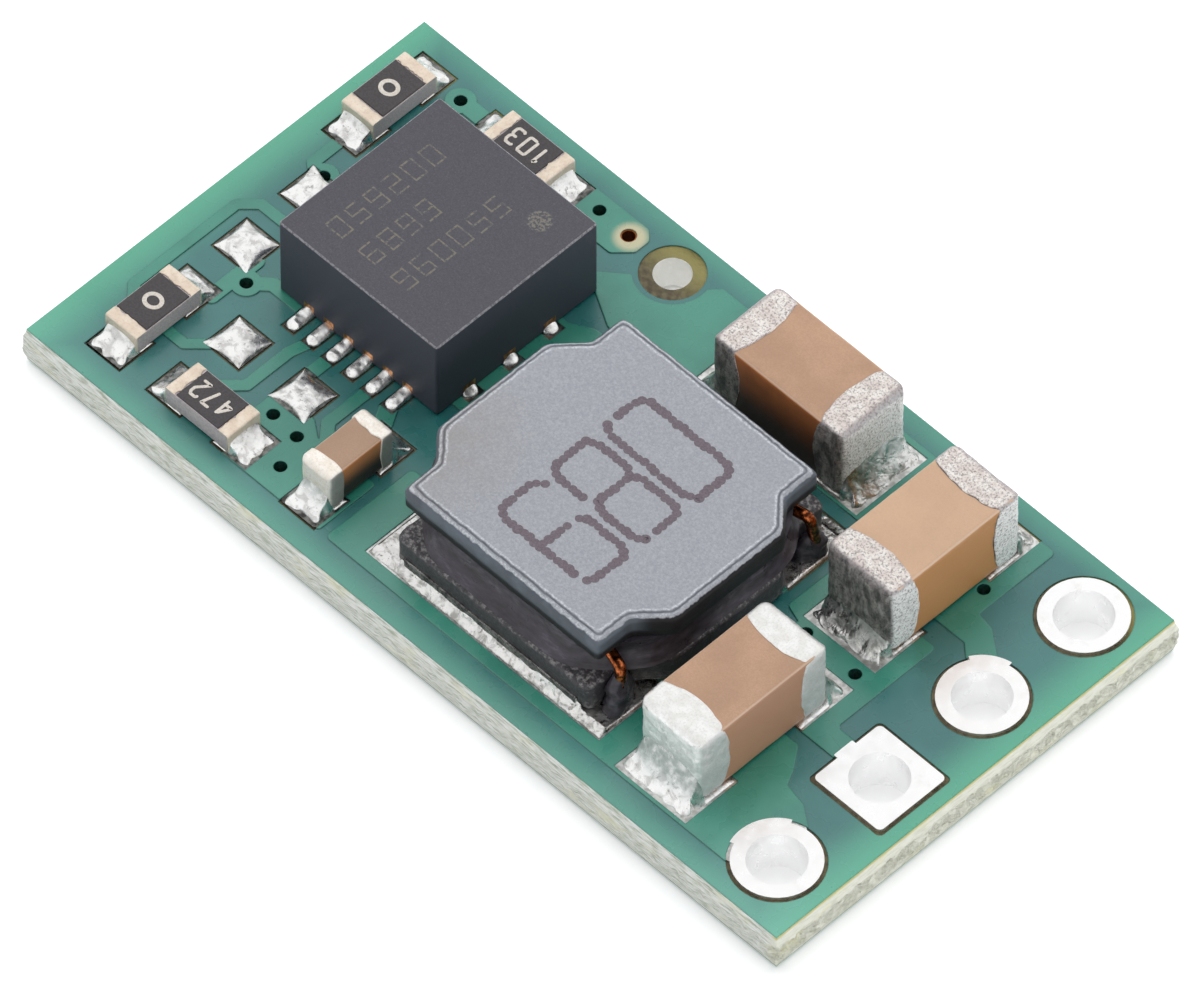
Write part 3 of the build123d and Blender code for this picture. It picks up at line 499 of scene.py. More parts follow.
def ferrite_finish():
    """Ground ferrite: pale grey with fine darker and lighter speckle, soiled at one corner; a painted shade line lies
    in the rim's groove, painted highlights on its chamfer and on the lip inside the groove, and the outer sides are
    darker and bluer, darker still towards +X, towards the bottom and in smears. The attribute inset is the distance in
    from the outline, in mm."""
    f = Finish("ferrite_grey")
    speckle = f.noise(0.045, 4.0, 0.75)
    tone = f.ramp(speckle, [(0.30, "8A8C93"), (0.5, "97999F"), (0.72, "ABACB0")])
    cloud = f.rise(f.noise(0.4, 4.0, 0.7), 0.3, 0.65, 0.4, 1.0)
    soiled = f.times(f.rise(f.away(-1.7, -2.6), 0.4, 2.4, 0.55, 0.0), cloud)
    tone = f.mix(soiled, tone, "8C8680")
    inset = f.put("ShaderNodeAttribute", attribute_name="inset").outputs["Fac"]
    ragged = f.maths("ADD", inset, f.times(f.maths("SUBTRACT", f.noise(0.12, 3.0), 0.5), 0.06))
    # Painted shade in the groove (line); painted highlights on the chamfer (slope) and on the lip inside the groove.
    line = f.band(ragged, 0.105, 0.130, 0.140, 0.175)
    edge = f.fall(ragged, 0.012, 0.035)
    slope = f.band(ragged, 0.050, 0.065, 0.085, 0.105)
    lip = f.band(ragged, 0.165, 0.180, 0.195, 0.225)
    turned = f.rise(f.facing("X"), 0.35, 0.6, 1.0, 0.15)
    painted_rim_highlight = f.times(f.times(f.maths("MAXIMUM", slope, lip), turned), f.rise(speckle, 0.40, 0.62, 0.15, 0.70))
    tone = f.mix(painted_rim_highlight, tone, "D6D9DD")
    tone = f.mix(f.times(line, 0.75), tone, "4E5058")
    normal_z = f.facing("Z", "True Normal")
    side = f.maths("MAXIMUM", f.fall(normal_z, 0.15, 0.5), f.fall(ragged, 0.040, 0.060))
    tone = f.mix(f.times(edge, 0.35), tone, "55585F")
    # The sides are darker towards +X, towards the bottom and in smears.
    smear = f.rise(f.noise(0.5, 3.0, 0.6), 0.35, 0.6)
    towards_end = f.rise(f.axis("X"), 3.6, 4.0)
    low = f.fall(f.axis("Z"), board_face + 1.50, board_face + 1.66)
    darkened = f.maths("MAXIMUM", f.maths("MAXIMUM", towards_end, low), f.times(smear, 0.35))
    dark_side = f.mix(darkened, "59616A", "1C1B1D")
    f.colour(f.mix(side, tone, dark_side))
    f.link(f.rise(f.times(side, darkened), 0.3, 1.0, 0.5, 0.25), "Specular IOR Level")
    f.relief(f.bump(speckle, 0.006))
    return f.material


def resin_finish():
    """Black filled resin with a soft sheen, streaked along its flow."""
    f = Finish("black_resin")
    streak = f.noise(0.10, 4.0, 0.6, stretch=(5, 5, 1))
    f.colour(f.ramp(streak, [(0.35, "2B272C"), (0.6, "423E46"), (0.8, "66626C")]))
    f.gloss(0.26, 0.55, 0.2, 3.0)
    f.relief(f.bump(streak, 0.02))
    return f.material


def lower_flange_finish():
    """Lower flange, stained black, with a speckled painted highlight along its top edge and the raw grain showing
    along its foot.
    """
    f = Finish("stained_ferrite")
    f.set(roughness=0.45)
    grain = f.noise(0.06, 4.0, 0.7)
    tone = f.ramp(grain, [(0.35, "2A272A"), (0.62, "403D41"), (0.78, "76747A")])
    z = f.axis("Z")
    # Painted highlight: a speckled light band along the flange's top edge (rubbed).
    rubbed = f.times(f.rise(z, board_face + 0.62, board_face + 0.69), f.rise(f.noise(0.10, 4.0, 0.7), 0.46, 0.64))
    frosted = f.times(f.fall(z, board_face + 0.10, board_face + 0.42), f.rise(f.noise(0.08, 4.0, 0.75), 0.47, 0.6))
    f.colour(f.mix(f.times(f.maths("MAXIMUM", rubbed, frosted), 0.6), tone, "A5A19F"))
    f.relief(f.bump(grain, 0.012))
    return f.material


def copper_finish(name, light, dark, roughness):
    """Copper, bright where it is rubbed and browner elsewhere."""
    f = Finish(name)
    f.set(metallic=1.0, roughness=roughness)
    f.colour(f.mottle(light, dark, 0.08, 3.0))
    f.relief(f.bump(f.noise(0.05, 3.0), 0.004))
    return f.material


def land_finish():
    """Copper sheet as it shows in the mask openings: tinned on every land, bare and warm at the open via."""
    f = Finish("tinned_copper")
    f.set(metallic=1.0, roughness=0.35)
    away = f.away(*open_via)
    tinned = f.mottle("E8E8E6", "B9B9B7", 0.12, 3.0)
    dulled = f.mottle("8A8A88", "4A4B49", 0.12, 3.0)
    tinned = f.mix(f.fall(f.axis("X"), -2.6, -2.2), tinned, dulled)
    f.colour(f.mix(f.fall(away, 0.30, 0.36), tinned, "D08A58"))
    f.relief(f.bump(f.noise(0.09, 3.0), 0.006))
    return f.material


def via_wall_finish():
    """Walls of the small vias, filmed with mask, and the bare copper wall of the open one."""
    f = Finish("via_wall")
    f.set(roughness=0.4)
    away = f.away(*open_via)
    film = f.mottle("14362F", "2A5C50", 0.05, 3.0)
    bare = f.fall(away, 0.28, 0.34)
    f.colour(f.mix(bare, film, "9A5C34"))
    f.link(f.times(bare, 0.9), "Metallic")
    f.relief(f.bump(f.noise(0.05, 3.0), 0.004))
    return f.material


def stone_finish(name, light, dark, roughness=0.5, size=0.04):
    """Fine-grained ceramic, glass or paint with a mottle of two tones."""
    f = Finish(name)
    f.set(roughness=roughness)
    f.colour(f.mottle(light, dark, size, 4.0, 0.65))
    f.relief(f.bump(f.noise(size * 0.8, 3.0), 0.004))
    return f.material


# Surfaces. A shell is its points and its faces, as arrays of corner numbers with one array for each kind of face.

def rough(points, size, seed):
    """Smooth unevenness from -1 to 1: random numbers at the corners of cubes size mm wide, blended at each point by
    the product, over the three axes, of 3t^2 - 2t^3, where t is how far along the cube the point lies."""
    table = np.random.default_rng(seed).uniform(-1, 1, (24, 24, 24))
    cell = np.floor(points / size).astype(int)
    t = points / size - cell
    t = t * t * (3 - 2 * t)
    total = 0.0
    for corner in product((0, 1), repeat=3):
        i, j, k = np.moveaxis((cell + corner) % 24, -1, 0)
        total = total + np.prod(np.where(corner, t, 1 - t), axis=-1) * table[i, j, k]
    return total


def tube(rows, first=None, last=None):
    """A grid of rows whose last point joins the first; each row is joined to the next by a band of quads. An end is
    closed by a fan of triangles about a pole point, or by one flat face."""
    count, around = rows.shape[:2]
    here = np.arange(around)
    after = (here + 1) % around
    starts = np.arange(count - 1)[:, None] * around
    band = np.stack([starts + here, starts + after, starts + after + around, starts + here + around], -1)
    points = rows.reshape(-1, 3)
    faces = [band.reshape(-1, 4)]
    for pole, row in ((first, 0), (last, count - 1)):
        if isinstance(pole, str):
            faces.append((row * around + here)[None, :])
        elif pole is not None:
            tip = np.full(around, len(points))
            faces.append(np.stack([row * around + here, row * around + after, tip], -1))
            points = np.vstack([points, pole])
    return points, faces


def mound(rows):
    """A height field on a grid, whose border stands on the surface below it and is closed there by one flat face."""
    across, along = rows.shape[:2]
    number = np.arange(across * along).reshape(across, along)
    quads = np.stack([number[:-1, :-1], number[1:, :-1], number[1:, 1:], number[:-1, 1:]], -1).reshape(-1, 4)
    border = np.concatenate([number[0, :-1], number[:-1, -1], number[-1, :0:-1], number[:0:-1, 0]])
    return rows.reshape(-1, 3), [quads, border[None, :]]


def join(*parts):
    """Points from their coordinates: each part is one number, a number for each point, or a pair for each point."""
    parts = [part if np.shape(part)[-1:] == (2,) else np.asarray(part)[..., None] for part in parts]
    shape = np.broadcast_shapes(*(part.shape[:-1] for part in parts))
    return np.concatenate([np.broadcast_to(part, (*shape, part.shape[-1])) for part in parts], -1)


def bunched(count):
    """Numbers from -1 to 1, closer together towards both ends."""
    return np.sin(np.linspace(-math.pi / 2, math.pi / 2, count))


def prism(line, low, high):
    """An outline carried straight up from one height to another and closed by fans about its middle."""
    rows = np.array([join(line, z) for z in (low, high)])
    return tube(rows, rows[0].mean(axis=0), rows[1].mean(axis=0))


def circle(count):
    """Points evenly spaced round the unit circle."""
    turn = np.linspace(0, 2 * math.pi, count, endpoint=False)
    return np.column_stack([np.cos(turn), np.sin(turn)])


def set_down(shell, at=(0.0, 0.0), angle=0.0, height=0.0):
    """A shell turned about Z by an angle in degrees and moved to its place."""
    c, s = math.cos(math.radians(angle)), math.sin(math.radians(angle))
    points, faces = shell
    turned = points @ np.array([[c, s, 0], [-s, c, 0], [0, 0, 1]])
    return turned + [at[0], at[1], height], faces


def show(name, mesh, material, replaced, crease):
    """The object of a mesh, smooth but for edges sharper than the crease, riding on the module's one body."""
    mesh.shade_smooth()
    mesh.set_sharp_from_angle(angle=math.radians(crease))
    mesh.materials.append(material)
    thing = bpy.data.objects.new(name, mesh)
    bpy.context.scene.collection.objects.link(thing)
    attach(thing, "root")
    if replaced:
        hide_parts(*replaced)


def piece(name, shells, material, replaced=(), crease=60, marks=None):
    """One object made from closed shells; marks are values for each point."""
    points = np.concatenate([shell[0] for shell in shells]) * MM
    faces = []
    start = 0
    for corners, kinds in shells:
        for kind in kinds:
            faces.extend((kind + start).tolist())
        start += len(corners)
    mesh = bpy.data.meshes.new(name)
    mesh.from_pydata(points, [], faces)
    for label, values in (marks or {}).items():
        mesh.attributes.new(label, "FLOAT", "POINT").data.foreach_set("value", values.astype(np.float32))
    solid = bmesh.new()
    solid.from_mesh(mesh)
    bmesh.ops.recalc_face_normals(solid, faces=solid.faces)
    solid.to_mesh(mesh)
    solid.free()
    show(name, mesh, material, replaced, crease)


def corner_shares(corners):
    """How far round the outline each corner comes, from 0 to 1."""
    corners = np.array(corners, float)
    lengths = np.linalg.norm(np.roll(corners, -1, axis=0) - corners, axis=1)
    return np.concatenate([[0.0], np.cumsum(lengths)]) / lengths.sum(), lengths.sum()


def loop(corners, count, rounding, like=None):
    """Points round a polygon and their outward normals. The points are evenly spaced on the polygon like, or on this
    one, and a running average with a bell curve of half the rounding rounds the corners."""
    shares, length = corner_shares(like if like is not None else corners)
    corners = np.array(corners, float)
    at = (np.arange(count) + 0.5) / count
    line = np.stack([np.interp(at, shares, np.append(corners[:, k], corners[0, k])) for k in (0, 1)], -1)
    wave = np.fft.fftfreq(count, length / count)
    bell = np.exp(-2 * (np.pi * wave * rounding / 2) ** 2)
    line = np.fft.ifft(np.fft.fft(line, axis=0) * bell[:, None], axis=0).real
    along = np.roll(line, -1, axis=0) - np.roll(line, 1, axis=0)
    along /= np.linalg.norm(along, axis=1, keepdims=True)
    return line, np.stack([along[:, 1], -along[:, 0]], -1)


def rectangle(length, width):
    """Corners of a rectangle about the origin, counter-clockwise from the middle of its +X side."""
    a, b = length / 2, width / 2
    return [(a, 0), (a, b), (-a, b), (-a, -b), (a, -b)]


# Chips

def end_cup(chip, band, bulge, edge, lump, seed):
    """Plated end of a chip, along +X, centred on the chip: a rounded rectangle carried from the margin along the four
    sides, then over a quarter circle, then drawn in to the middle of the end face. The margin lies band mm from the
    end at the chip's edges and band plus bulge at the middle of each side, as a parabola, and wavers a little."""
    length, width, height = chip["length"], chip["width"], chip["height"]
    line, outward = loop(rectangle(width, height), 120, edge)
    level = np.abs(outward[:, 1]) > np.abs(outward[:, 0])
    across = np.where(level, line[:, 0] / (width / 2), line[:, 1] / (height / 2))
    waver = rough(join(line, 0.0), 0.16, seed) * 0.02
    margin = length / 2 - band - bulge * np.clip(1 - across ** 2, 0, 1) + waver
    shoulder = length / 2 - edge
    share = np.array([0.0, 0.0, 0.03, 0.08, 0.16, 0.3, 0.45, 0.6, 0.75, 0.9, 1.0])
    sunk = np.array([0.06, 0.022, 0.006, 0.0, 0, 0, 0, 0, 0, 0, 0])
    x = margin + (shoulder - margin) * share[:, None]
    side, side_out = join(x, line - outward * sunk[:, None, None]), join(0 * x, outward)
    turn = np.radians(np.arange(12, 91, 13))[:, None]
    bent = line - outward * (edge * (1 - np.cos(turn)))[..., None]
    over = join(shoulder + edge * np.sin(turn), bent)
    over_out = join(np.sin(turn), outward * np.cos(turn)[..., None])
    shrink = np.array([0.92, 0.8, 0.65, 0.5, 0.35, 0.2, 0.08])[:, None, None]
    face = over[-1] * [1, 0, 0] + over[-1] * [0, 1, 1] * shrink
    face_out = np.broadcast_to([1.0, 0.0, 0.0], face.shape)
    rows = np.concatenate([side, over, face])
    out = np.concatenate([side_out, over_out, face_out])
    uneven = lump * (rough(rows, 0.11, seed + 1) + 0.7 * rough(rows, 0.28, seed + 2)) - lump
    uneven[:2] = 0
    rows = rows + out * uneven[..., None]
    return tube(rows, rows[0].mean(axis=0), [length / 2 - lump, 0, 0])


def ceramic_block(chip, seed):
    """Ceramic of a capacitor, along X: a rounded rectangle, a little smaller than the plated ends, carried from
    inside one end to inside the other, its faces uneven by a few thousandths of a millimetre."""
    line, outward = loop(rectangle(chip["width"] - 0.07, chip["height"] - 0.07), 120, 0.09)
    x = np.linspace(-1, 1, 40) * (chip["length"] / 2 - 0.22)
    rows = join(x[:, None], line)
    uneven = 0.004 * rough(rows, 0.35, seed) + 0.0015 * rough(rows, 0.06, seed + 1)
    rows = rows + join(0.0, outward) * uneven[..., None]
    return tube(rows, [x[0], 0, 0], [x[-1], 0, 0])


def end_wrap(chip, band, seed):
    """Plated end of a resistor, along +X: a C-shaped section of top, end and underside, with rounded corners,
    carried across the chip; its upper margin wavers."""
    half_length, half_height, thick, r = chip["length"] / 2, chip["height"] / 2, 0.03, 0.05
    y = (chip["width"] / 2) * bunched(41)
    turn = np.radians(np.linspace(90, -90, 13))
    corner = half_length - r + r * np.cos(turn)
    level = np.where(turn > 0, half_height - r, r - half_height) + r * np.sin(turn)
    inner = half_length - thick
    section = np.array([(half_length - band, half_height - thick), (half_length - band, half_height - 0.010),
                        (half_length - band + 0.012, half_height), *zip(corner, level),
                        (half_length - band, -half_height), (half_length - band, thick - half_height),
                        (inner, thick - half_height), (inner, half_height - thick)])
    rows = join(section[:, 0], y[:, None], section[:, 1])
    long_waver = 0.028 * rough(join(y, y, 0.0), 0.11, seed)
    short_waver = 0.012 * rough(join(y, y, y), 0.04, seed)
    rows[:, :3, 0] += (long_waver + short_waver)[:, None]
    uneven = 0.003 * rough(rows, 0.10, seed + 1) - 0.003
    rows[:, 1:16, 2] += (uneven * np.sign(rows[..., 2]))[:, 1:16]
    drop = 0.012 * (np.abs(y) / y[-1]) ** 8
    rows[:, 1:9, 2] -= drop[:, None]
    return tube(rows, "flat", "flat")


def end_solder(chip, climb, lump, seed):
    """Solder at one end of a chip, outward along +X and standing on its land at height 0: thin under the chip, and
    past its end a hollow slope that falls from the climb to the land's far edge as a power of the distance left,
    lower towards the two corners. Over the land's border the height goes as the root of the distance from it."""
    wall = chip["length"] / 2
    half = chip["width"] / 2 + chip["side"]
    low, high = wall - chip["under"], wall + chip["reach"]
    u = np.concatenate([np.linspace(low, wall - 0.08, 10, endpoint=False), np.linspace(wall - 0.08, high, 46)])
    v = half * bunched(52)
    u, v = np.meshgrid(u, v, indexing="ij")
    left = np.clip((high - u) / (high - wall), 0, 1.12)
    away = np.clip(1 - left, 0, 1)
    top = climb * (1 - 0.34 * np.abs(v / half) ** 2.5)
    height = 0.035 + (top - 0.035) * left ** 1.7
    height = np.where(u < wall - 0.07, solder_gap, height)
    border = np.minimum(np.minimum(u - low, high - u), half - np.abs(v))
    flat = join(u, v, 0.0)
    pull = 0.05 * chip["width"] * np.exp(-((away - 0.35) / 0.22) ** 2) + 0.10 * chip["width"] * away ** 6
    v = v * (1 - pull / half) * (1 + 0.02 * away ** 2 * rough(flat, 0.15, seed + 2))
    u = u - 0.05 * away ** 4 * (1 + rough(flat, 0.2, seed + 3))
    slack = np.clip(1.25 - left, 0.12, 1) * (u > wall - 0.07)
    height += lump * (rough(flat, 0.18, seed) + 0.3 * rough(flat, 0.06, seed + 1)) * slack
    height = np.minimum(height, 0.03 + 3.2 * border)
    height = np.maximum(height, 0.012) * np.sqrt(np.clip(border / 0.07, 0, 1))
    return mound(join(u, v, height))


def dress_chip(name, chip, at, angle, cup, climb, lump, cup_finish, solder, seed):
    """Both plated ends and both joints of one chip, and a capacitor's ceramic; a resistor's keeps the CAD's shape."""
    resting = copper_top + solder_gap + chip["height"] / 2
    capacitor = "capacitor" in name
    for index, (letter, turn) in enumerate((("b", 0.0), ("a", 180.0))):
        shell = (end_cup if capacitor else end_wrap)(chip, seed=seed + 10 * index, **cup)
        piece(f"{name}_plated_end_{letter}", [set_down(shell, at, angle + turn, resting)], cup_finish,
              [f"{name}_end_{letter}"])
    if capacitor:
        piece(f"{name}_ceramic", [set_down(ceramic_block(chip, seed + 5), at, angle, resting)], ceramic,
              [f"{name}_body"])
    joints = [set_down(end_solder(chip, climb, lump, seed + 31 * turn), at, angle + 180 * turn, copper_top)
              for turn in (0, 1)]
    piece(f"{name}_joints", joints, solder, [f"{name}_solder"])


def pillow(chip, tails, seed):
    """Solder lying on an unfitted land: a square grid whose sides are drawn in most at their middles, with a height
    that falls from the crown to the border as the 0.6th power of (1 - a^2)(1 - b^2). A tail draws one corner out, by
    the fifth power of how near a point lies to it."""
    length, width = chip["reach"] + chip["under"], chip["width"] + 2 * chip["side"]
    a, b = np.meshgrid(bunched(49), np.linspace(-1, 1, 49), indexing="ij")
    pull = 0.10
    x = length / 2 * a * (1 - pull * (1 - b ** 2))
    y = width / 2 * b * (1 - pull * (1 - a ** 2))
    for side_a, side_b, reach in tails:
        nearness = ((1 + side_a * a) * (1 + side_b * b) / 4) ** 5
        x = x + side_a * reach * nearness
        y = y + side_b * reach * nearness
    flat = join(x, y, 0.0)
    height = 0.13 * np.clip((1 - a ** 2) * (1 - b ** 2), 0, 1) ** 0.6
    height *= 1 + 0.16 * rough(flat, 0.26, seed) + 0.03 * rough(flat, 0.09, seed + 1)
    return mound(join(x, y, height))


# Regulator

def lead_solder(width, reach, climb, seed):
    """Solder on one lead's land, outward along +X from the package's side: a rounded ridge, its width closed in by a
    half circle at the toe, as high across as the root of 1 - v^2, and hollow from the climb down to the toe."""
    t, v = np.meshgrid(np.linspace(0, 1, 26), bunched(17), indexing="ij")
    start = -0.06
    x = start + (reach - start) * t
    toe = np.clip((reach - x) / (0.55 * width), 0, 1)
    half = width / 2 * np.sqrt(1 - (1 - toe) ** 2)
    ridge = 0.075 + (climb - 0.075) * (1 - np.clip(x, 0, None) / reach) ** 1.7
    height = ridge * np.sqrt(np.clip(1 - v ** 2, 0, 1)) * np.sqrt(toe) * np.where(t == 0, 0, 1)
    y = half * v * 1.12
    flat = join(x, y, 0.0)
    height *= 1 + 0.12 * rough(flat, 0.09, seed)
    return mound(join(x, y, height))


def dress_regulator(solder):
    """Solder beside each lead, and the slab under the heat pad."""
    joints = []
    wide, fine = (3, 1.0, -0.20, 0.30, 0.15, 0.14), (6, 0.5, 0.0, 0.25, 0.50, 0.15)
    for turn, (count, pitch, shift, width, reach, climb) in ((0, wide), (90, fine), (180, wide), (270, fine)):
        direction = math.radians(turn)
        out = np.array([math.cos(direction), math.sin(direction)])
        along = np.array([-out[1], out[0]])
        for index in range(count):
            at = regulator_at + regulator_half * out + ((index - (count - 1) / 2) * pitch + shift) * along
            joints.append(set_down(lead_solder(width, reach, climb, 700 + turn + index), at, turn, copper_top))
    slab = prism(loop(rectangle(2.4, 2.4), 48, 0.1)[0], 0.0, 0.05)
    joints.append(set_down(slab, regulator_at, 0, copper_top))
    piece("regulator_joints", joints, solder, ["regulator_solder"])


# Inductor, about its own centre with height 0 at the board's face

def notched(half_length, half_width, inset):
    """Corners of a flange seen from above, counter-clockwise, drawn in by an inset: a cross with sloping shoulders."""
    a, b, n = half_length - inset, half_width - inset, 2.45 - inset
    low, high = 1.35 - 0.40 * inset, 1.93 - 0.40 * inset
    quarter = [(a, low), (n, high), (n, b)]
    left = [(-x, y) for x, y in reversed(quarter)]
    return [(a, 0), *quarter, *left, *[(-x, -y) for x, y in quarter], *[(x, -y) for x, y in reversed(quarter)]]


def flange(half_width, rounding, profile, lump, seed):
    """A flange: its notched outline carried through a profile of inset and height, then drawn in to its centre above
    and below. With the shell comes each point's inset."""
    like = notched(3.0, half_width, 0.0)
    count = 480
    rows, insets = [], []
    for inset, height in profile:
        line, outward = loop(notched(3.0, half_width, inset), count, rounding, like)
        rows.append(join(line, height))
        insets.append(np.full(count, inset))
    rows = np.array(rows)
    uneven = lump * (rough(rows, 0.09, seed) + rough(rows, 0.3, seed + 1)) - lump
    rows = rows + join(outward, 0.0) * uneven[..., None]
    under = rows[0] * [0.5, 0.5, 1]
    over = np.array([rows[-1] * [k, k, 1] for k in (0.9, 0.7, 0.5, 0.3, 0.12)])
    rows = np.concatenate([under[None], rows, over])
    inset = np.concatenate([np.full(count, 1.0), *insets, np.full(5 * count + 2, 1.0)])
    return tube(rows, [0, 0, profile[0][1]], [0, 0, profile[-1][1]]), inset


def dress_inductor(ferrite, darkened, resin, solder):
    """Upper flange with its chamfered, grooved rim; stained lower flange and post; resin; solder on both lands."""
    top, base = flange_top, flange_top - 0.52
    seat = inductor_at, 0, board_face
    upper, inset = flange(2.735, 0.16, [
        (0.03, base), (0.0, base + 0.03), (0.0, base + 0.2), (0.0, top - 0.14), (0.006, top - 0.115),
        (0.022, top - 0.090), (0.075, top - 0.036), (0.105, top - 0.012), (0.118, top - 0.010),
        (0.128, top - 0.020), (0.143, top - 0.020), (0.156, top - 0.003), (0.19, top), (0.28, top)], 0.006, 41)
    piece("inductor_upper_flange", [set_down(upper, *seat)], ferrite, ["inductor_core"], 50,
          {"inset": inset})
    lower, _ = flange(2.97, 0.34, [(0.05, 0.06), (0.0, 0.12), (0.0, 0.3), (0.0, 0.62), (0.012, 0.66),
                                   (0.045, 0.695), (0.10, 0.70)], 0.012, 43)
    post = prism(1.30 * circle(64), 0.69, base + 0.01)
    drum = [set_down(lower, *seat), set_down(post, *seat)]
    piece("inductor_lower_drum", drum, darkened, ["inductor_core"], 50)
    piece("inductor_filling", [set_down(filling(0.70, base), *seat)], resin, ["inductor_resin"])
    drips = [set_down(drip(tall, 71 + index), (inductor_at[0] + 2.60, inductor_at[1] + y), turn, board_face + 0.02)
             for index, (y, turn, tall) in enumerate(((-2.36, 15, 0.88), (2.36, -15, 0.52)))]
    piece("inductor_drips", drips, resin, crease=80)
    joints = [set_down(long_joint(51 + turn), inductor_at, 90 + 180 * turn, copper_top) for turn in (0, 1)]
    piece("inductor_joints", joints, solder, ["inductor_solder"])


def drip(tall, seed):
    """Resin run down round a winding tail: half an egg, its radius uneven by up to a fifth."""
    turn = np.linspace(0, 2 * math.pi, 48, endpoint=False)
    rise = np.radians(np.linspace(0, 84, 18))[:, None]
    rows = join(0.23 * np.cos(rise) * np.cos(turn), 0.36 * np.cos(rise) * np.sin(turn), tall * np.sin(rise))
    rows[..., :2] *= (1 + 0.22 * rough(rows, 0.15, seed) + 0.08 * rough(rows, 0.06, seed + 1))[..., None]
    return tube(rows, [0, 0, 0], [0, 0, tall])


def filling(low, high):
    """Resin between the flanges, in polar form: the radius at each direction is the lesser of a rectangle's and a
    circle's, both larger at the foot than under the upper flange, drawn in by a half sine over the height."""
    angle = np.linspace(0, 2 * math.pi, 720, endpoint=False)
    t = np.concatenate([[0.0], np.linspace(0, 1, 22), [1.0]])[:, None]
    c, s = np.abs(np.cos(angle)), np.abs(np.sin(angle))
    half_x = 2.93 - 0.03 * t
    half_y = 2.90 - 0.27 * t
    straight = np.minimum(half_x / np.maximum(c, 1e-6), half_y / np.maximum(s, 1e-6))
    curved = 3.32 - 0.10 * t
    radius = -np.log(np.exp(-14 * straight) + np.exp(-14 * curved)) / 14
    radius = radius - 0.17 * np.sin(math.pi * t) ** 0.8
    rows = join(radius * np.cos(angle), radius * np.sin(angle), low + (high - low) * t)
    folds = 0.030 * rough(rows * [0.35, 0.35, 1.0], 0.16, 61) + 0.014 * rough(rows, 0.09, 62)
    folds *= np.sin(math.pi * np.clip(t, 0.03, 0.97))
    rows[..., :2] *= (1 + folds / radius)[..., None]
    rows[[0, -1], :, :2] *= 0.75
    return tube(rows, [0, 0, low], [0, 0, high])


def long_joint(seed):
    """Solder along one of the inductor's lands, outward along +X: thin below the flange, and past its side a low
    hollow slope to the land's edge, frayed along its top by how far the solder wetted."""
    wall, high, low, half = 3.0, 3.15, 1.55, 2.89
    u = np.concatenate([np.linspace(low, wall - 0.05, 6, endpoint=False), np.linspace(wall - 0.05, high, 16)])
    v = np.linspace(-half, half, 260)
    u, v = np.meshgrid(u, v, indexing="ij")
    flat = join(u, v, 0.0)
    wet = np.where(np.abs(v) < 2.25, 1.0, 0.45)
    climb = (0.17 + 0.05 * rough(flat, 0.25, seed)) * wet
    left = np.clip((high - u) / (high - wall), 0, 1.2)
    height = np.where(u < wall - 0.04, solder_gap, 0.03 + (climb - 0.03) * left ** 1.6)
    height += 0.010 * rough(flat, 0.05, seed + 1) * (u > wall - 0.04)
    border = np.minimum(np.minimum(u - low, high - u), half - np.abs(v))
    height = np.maximum(height, 0.01) * np.sqrt(np.clip(border / 0.04, 0, 1))
    return mound(join(u, v, height))


# Markings

def dots(centres, radius, top):
    """Small flat discs at a list of places, each slightly sunk in the middle."""
    ring = join(circle(14), 0.0)
    shells = []
    for at, r in zip(centres, radius):
        rows = np.array([ring * r, ring * r + [0, 0, top], ring * r * 0.62 + [0, 0, top * 0.55]])
        shells.append(set_down(tube(rows, [0, 0, 0], [0, 0, top * 0.5]), at))
    return shells


def along_path(points, step):
    """Points evenly spaced, about step apart, along a broken line."""
    points = np.array(points, float)
    lengths = np.linalg.norm(np.diff(points, axis=0), axis=1)
    reached = np.concatenate([[0.0], np.cumsum(lengths)])
    at = np.linspace(0, reached[-1], max(2, round(reached[-1] / step) + 1))
    return np.stack([np.interp(at, reached, points[:, k]) for k in (0, 1)], -1)


# Strokes of the numerals in a box 1 wide and 1 high
numerals = {
    "0": [[(0.12, 0), (0, 0.08), (0, 0.92), (0.12, 1), (0.88, 1), (1, 0.92), (1, 0.08), (0.88, 0), (0.12, 0)]],
    "1": [[(0.2, 0.8), (0.55, 1), (0.55, 0)]],
    "2": [[(0, 0.85), (0.2, 1), (0.8, 1), (1, 0.85), (1, 0.6), (0, 0), (1, 0)]],
    "3": [[(0, 0.9), (0.2, 1), (0.8, 1), (1, 0.85), (1, 0.62), (0.8, 0.5), (0.3, 0.5)],
          [(0.8, 0.5), (1, 0.38), (1, 0.12), (0.8, 0), (0.2, 0), (0, 0.12)]],
    "4": [[(0.8, 0), (0.8, 1)], [(0.72, 0.93), (0, 0.3), (1, 0.3)]],
    "6": [[(1, 0.93), (0.88, 1), (0.12, 1), (0, 0.92), (0, 0.08), (0.12, 0), (0.88, 0), (1, 0.08), (1, 0.44),
           (0.88, 0.52), (0.08, 0.52)]],
    "7": [[(0, 1), (1, 1), (0.4, 0)]],
    "8": [[(0.12, 0), (0, 0.08), (0, 0.44), (0.12, 0.52), (0.88, 0.52), (1, 0.6), (1, 0.92), (0.88, 1), (0.12, 1),
           (0, 0.92), (0, 0.6), (0.12, 0.52)], [(0.88, 0.52), (1, 0.44), (1, 0.08), (0.88, 0), (0.12, 0)]],
}


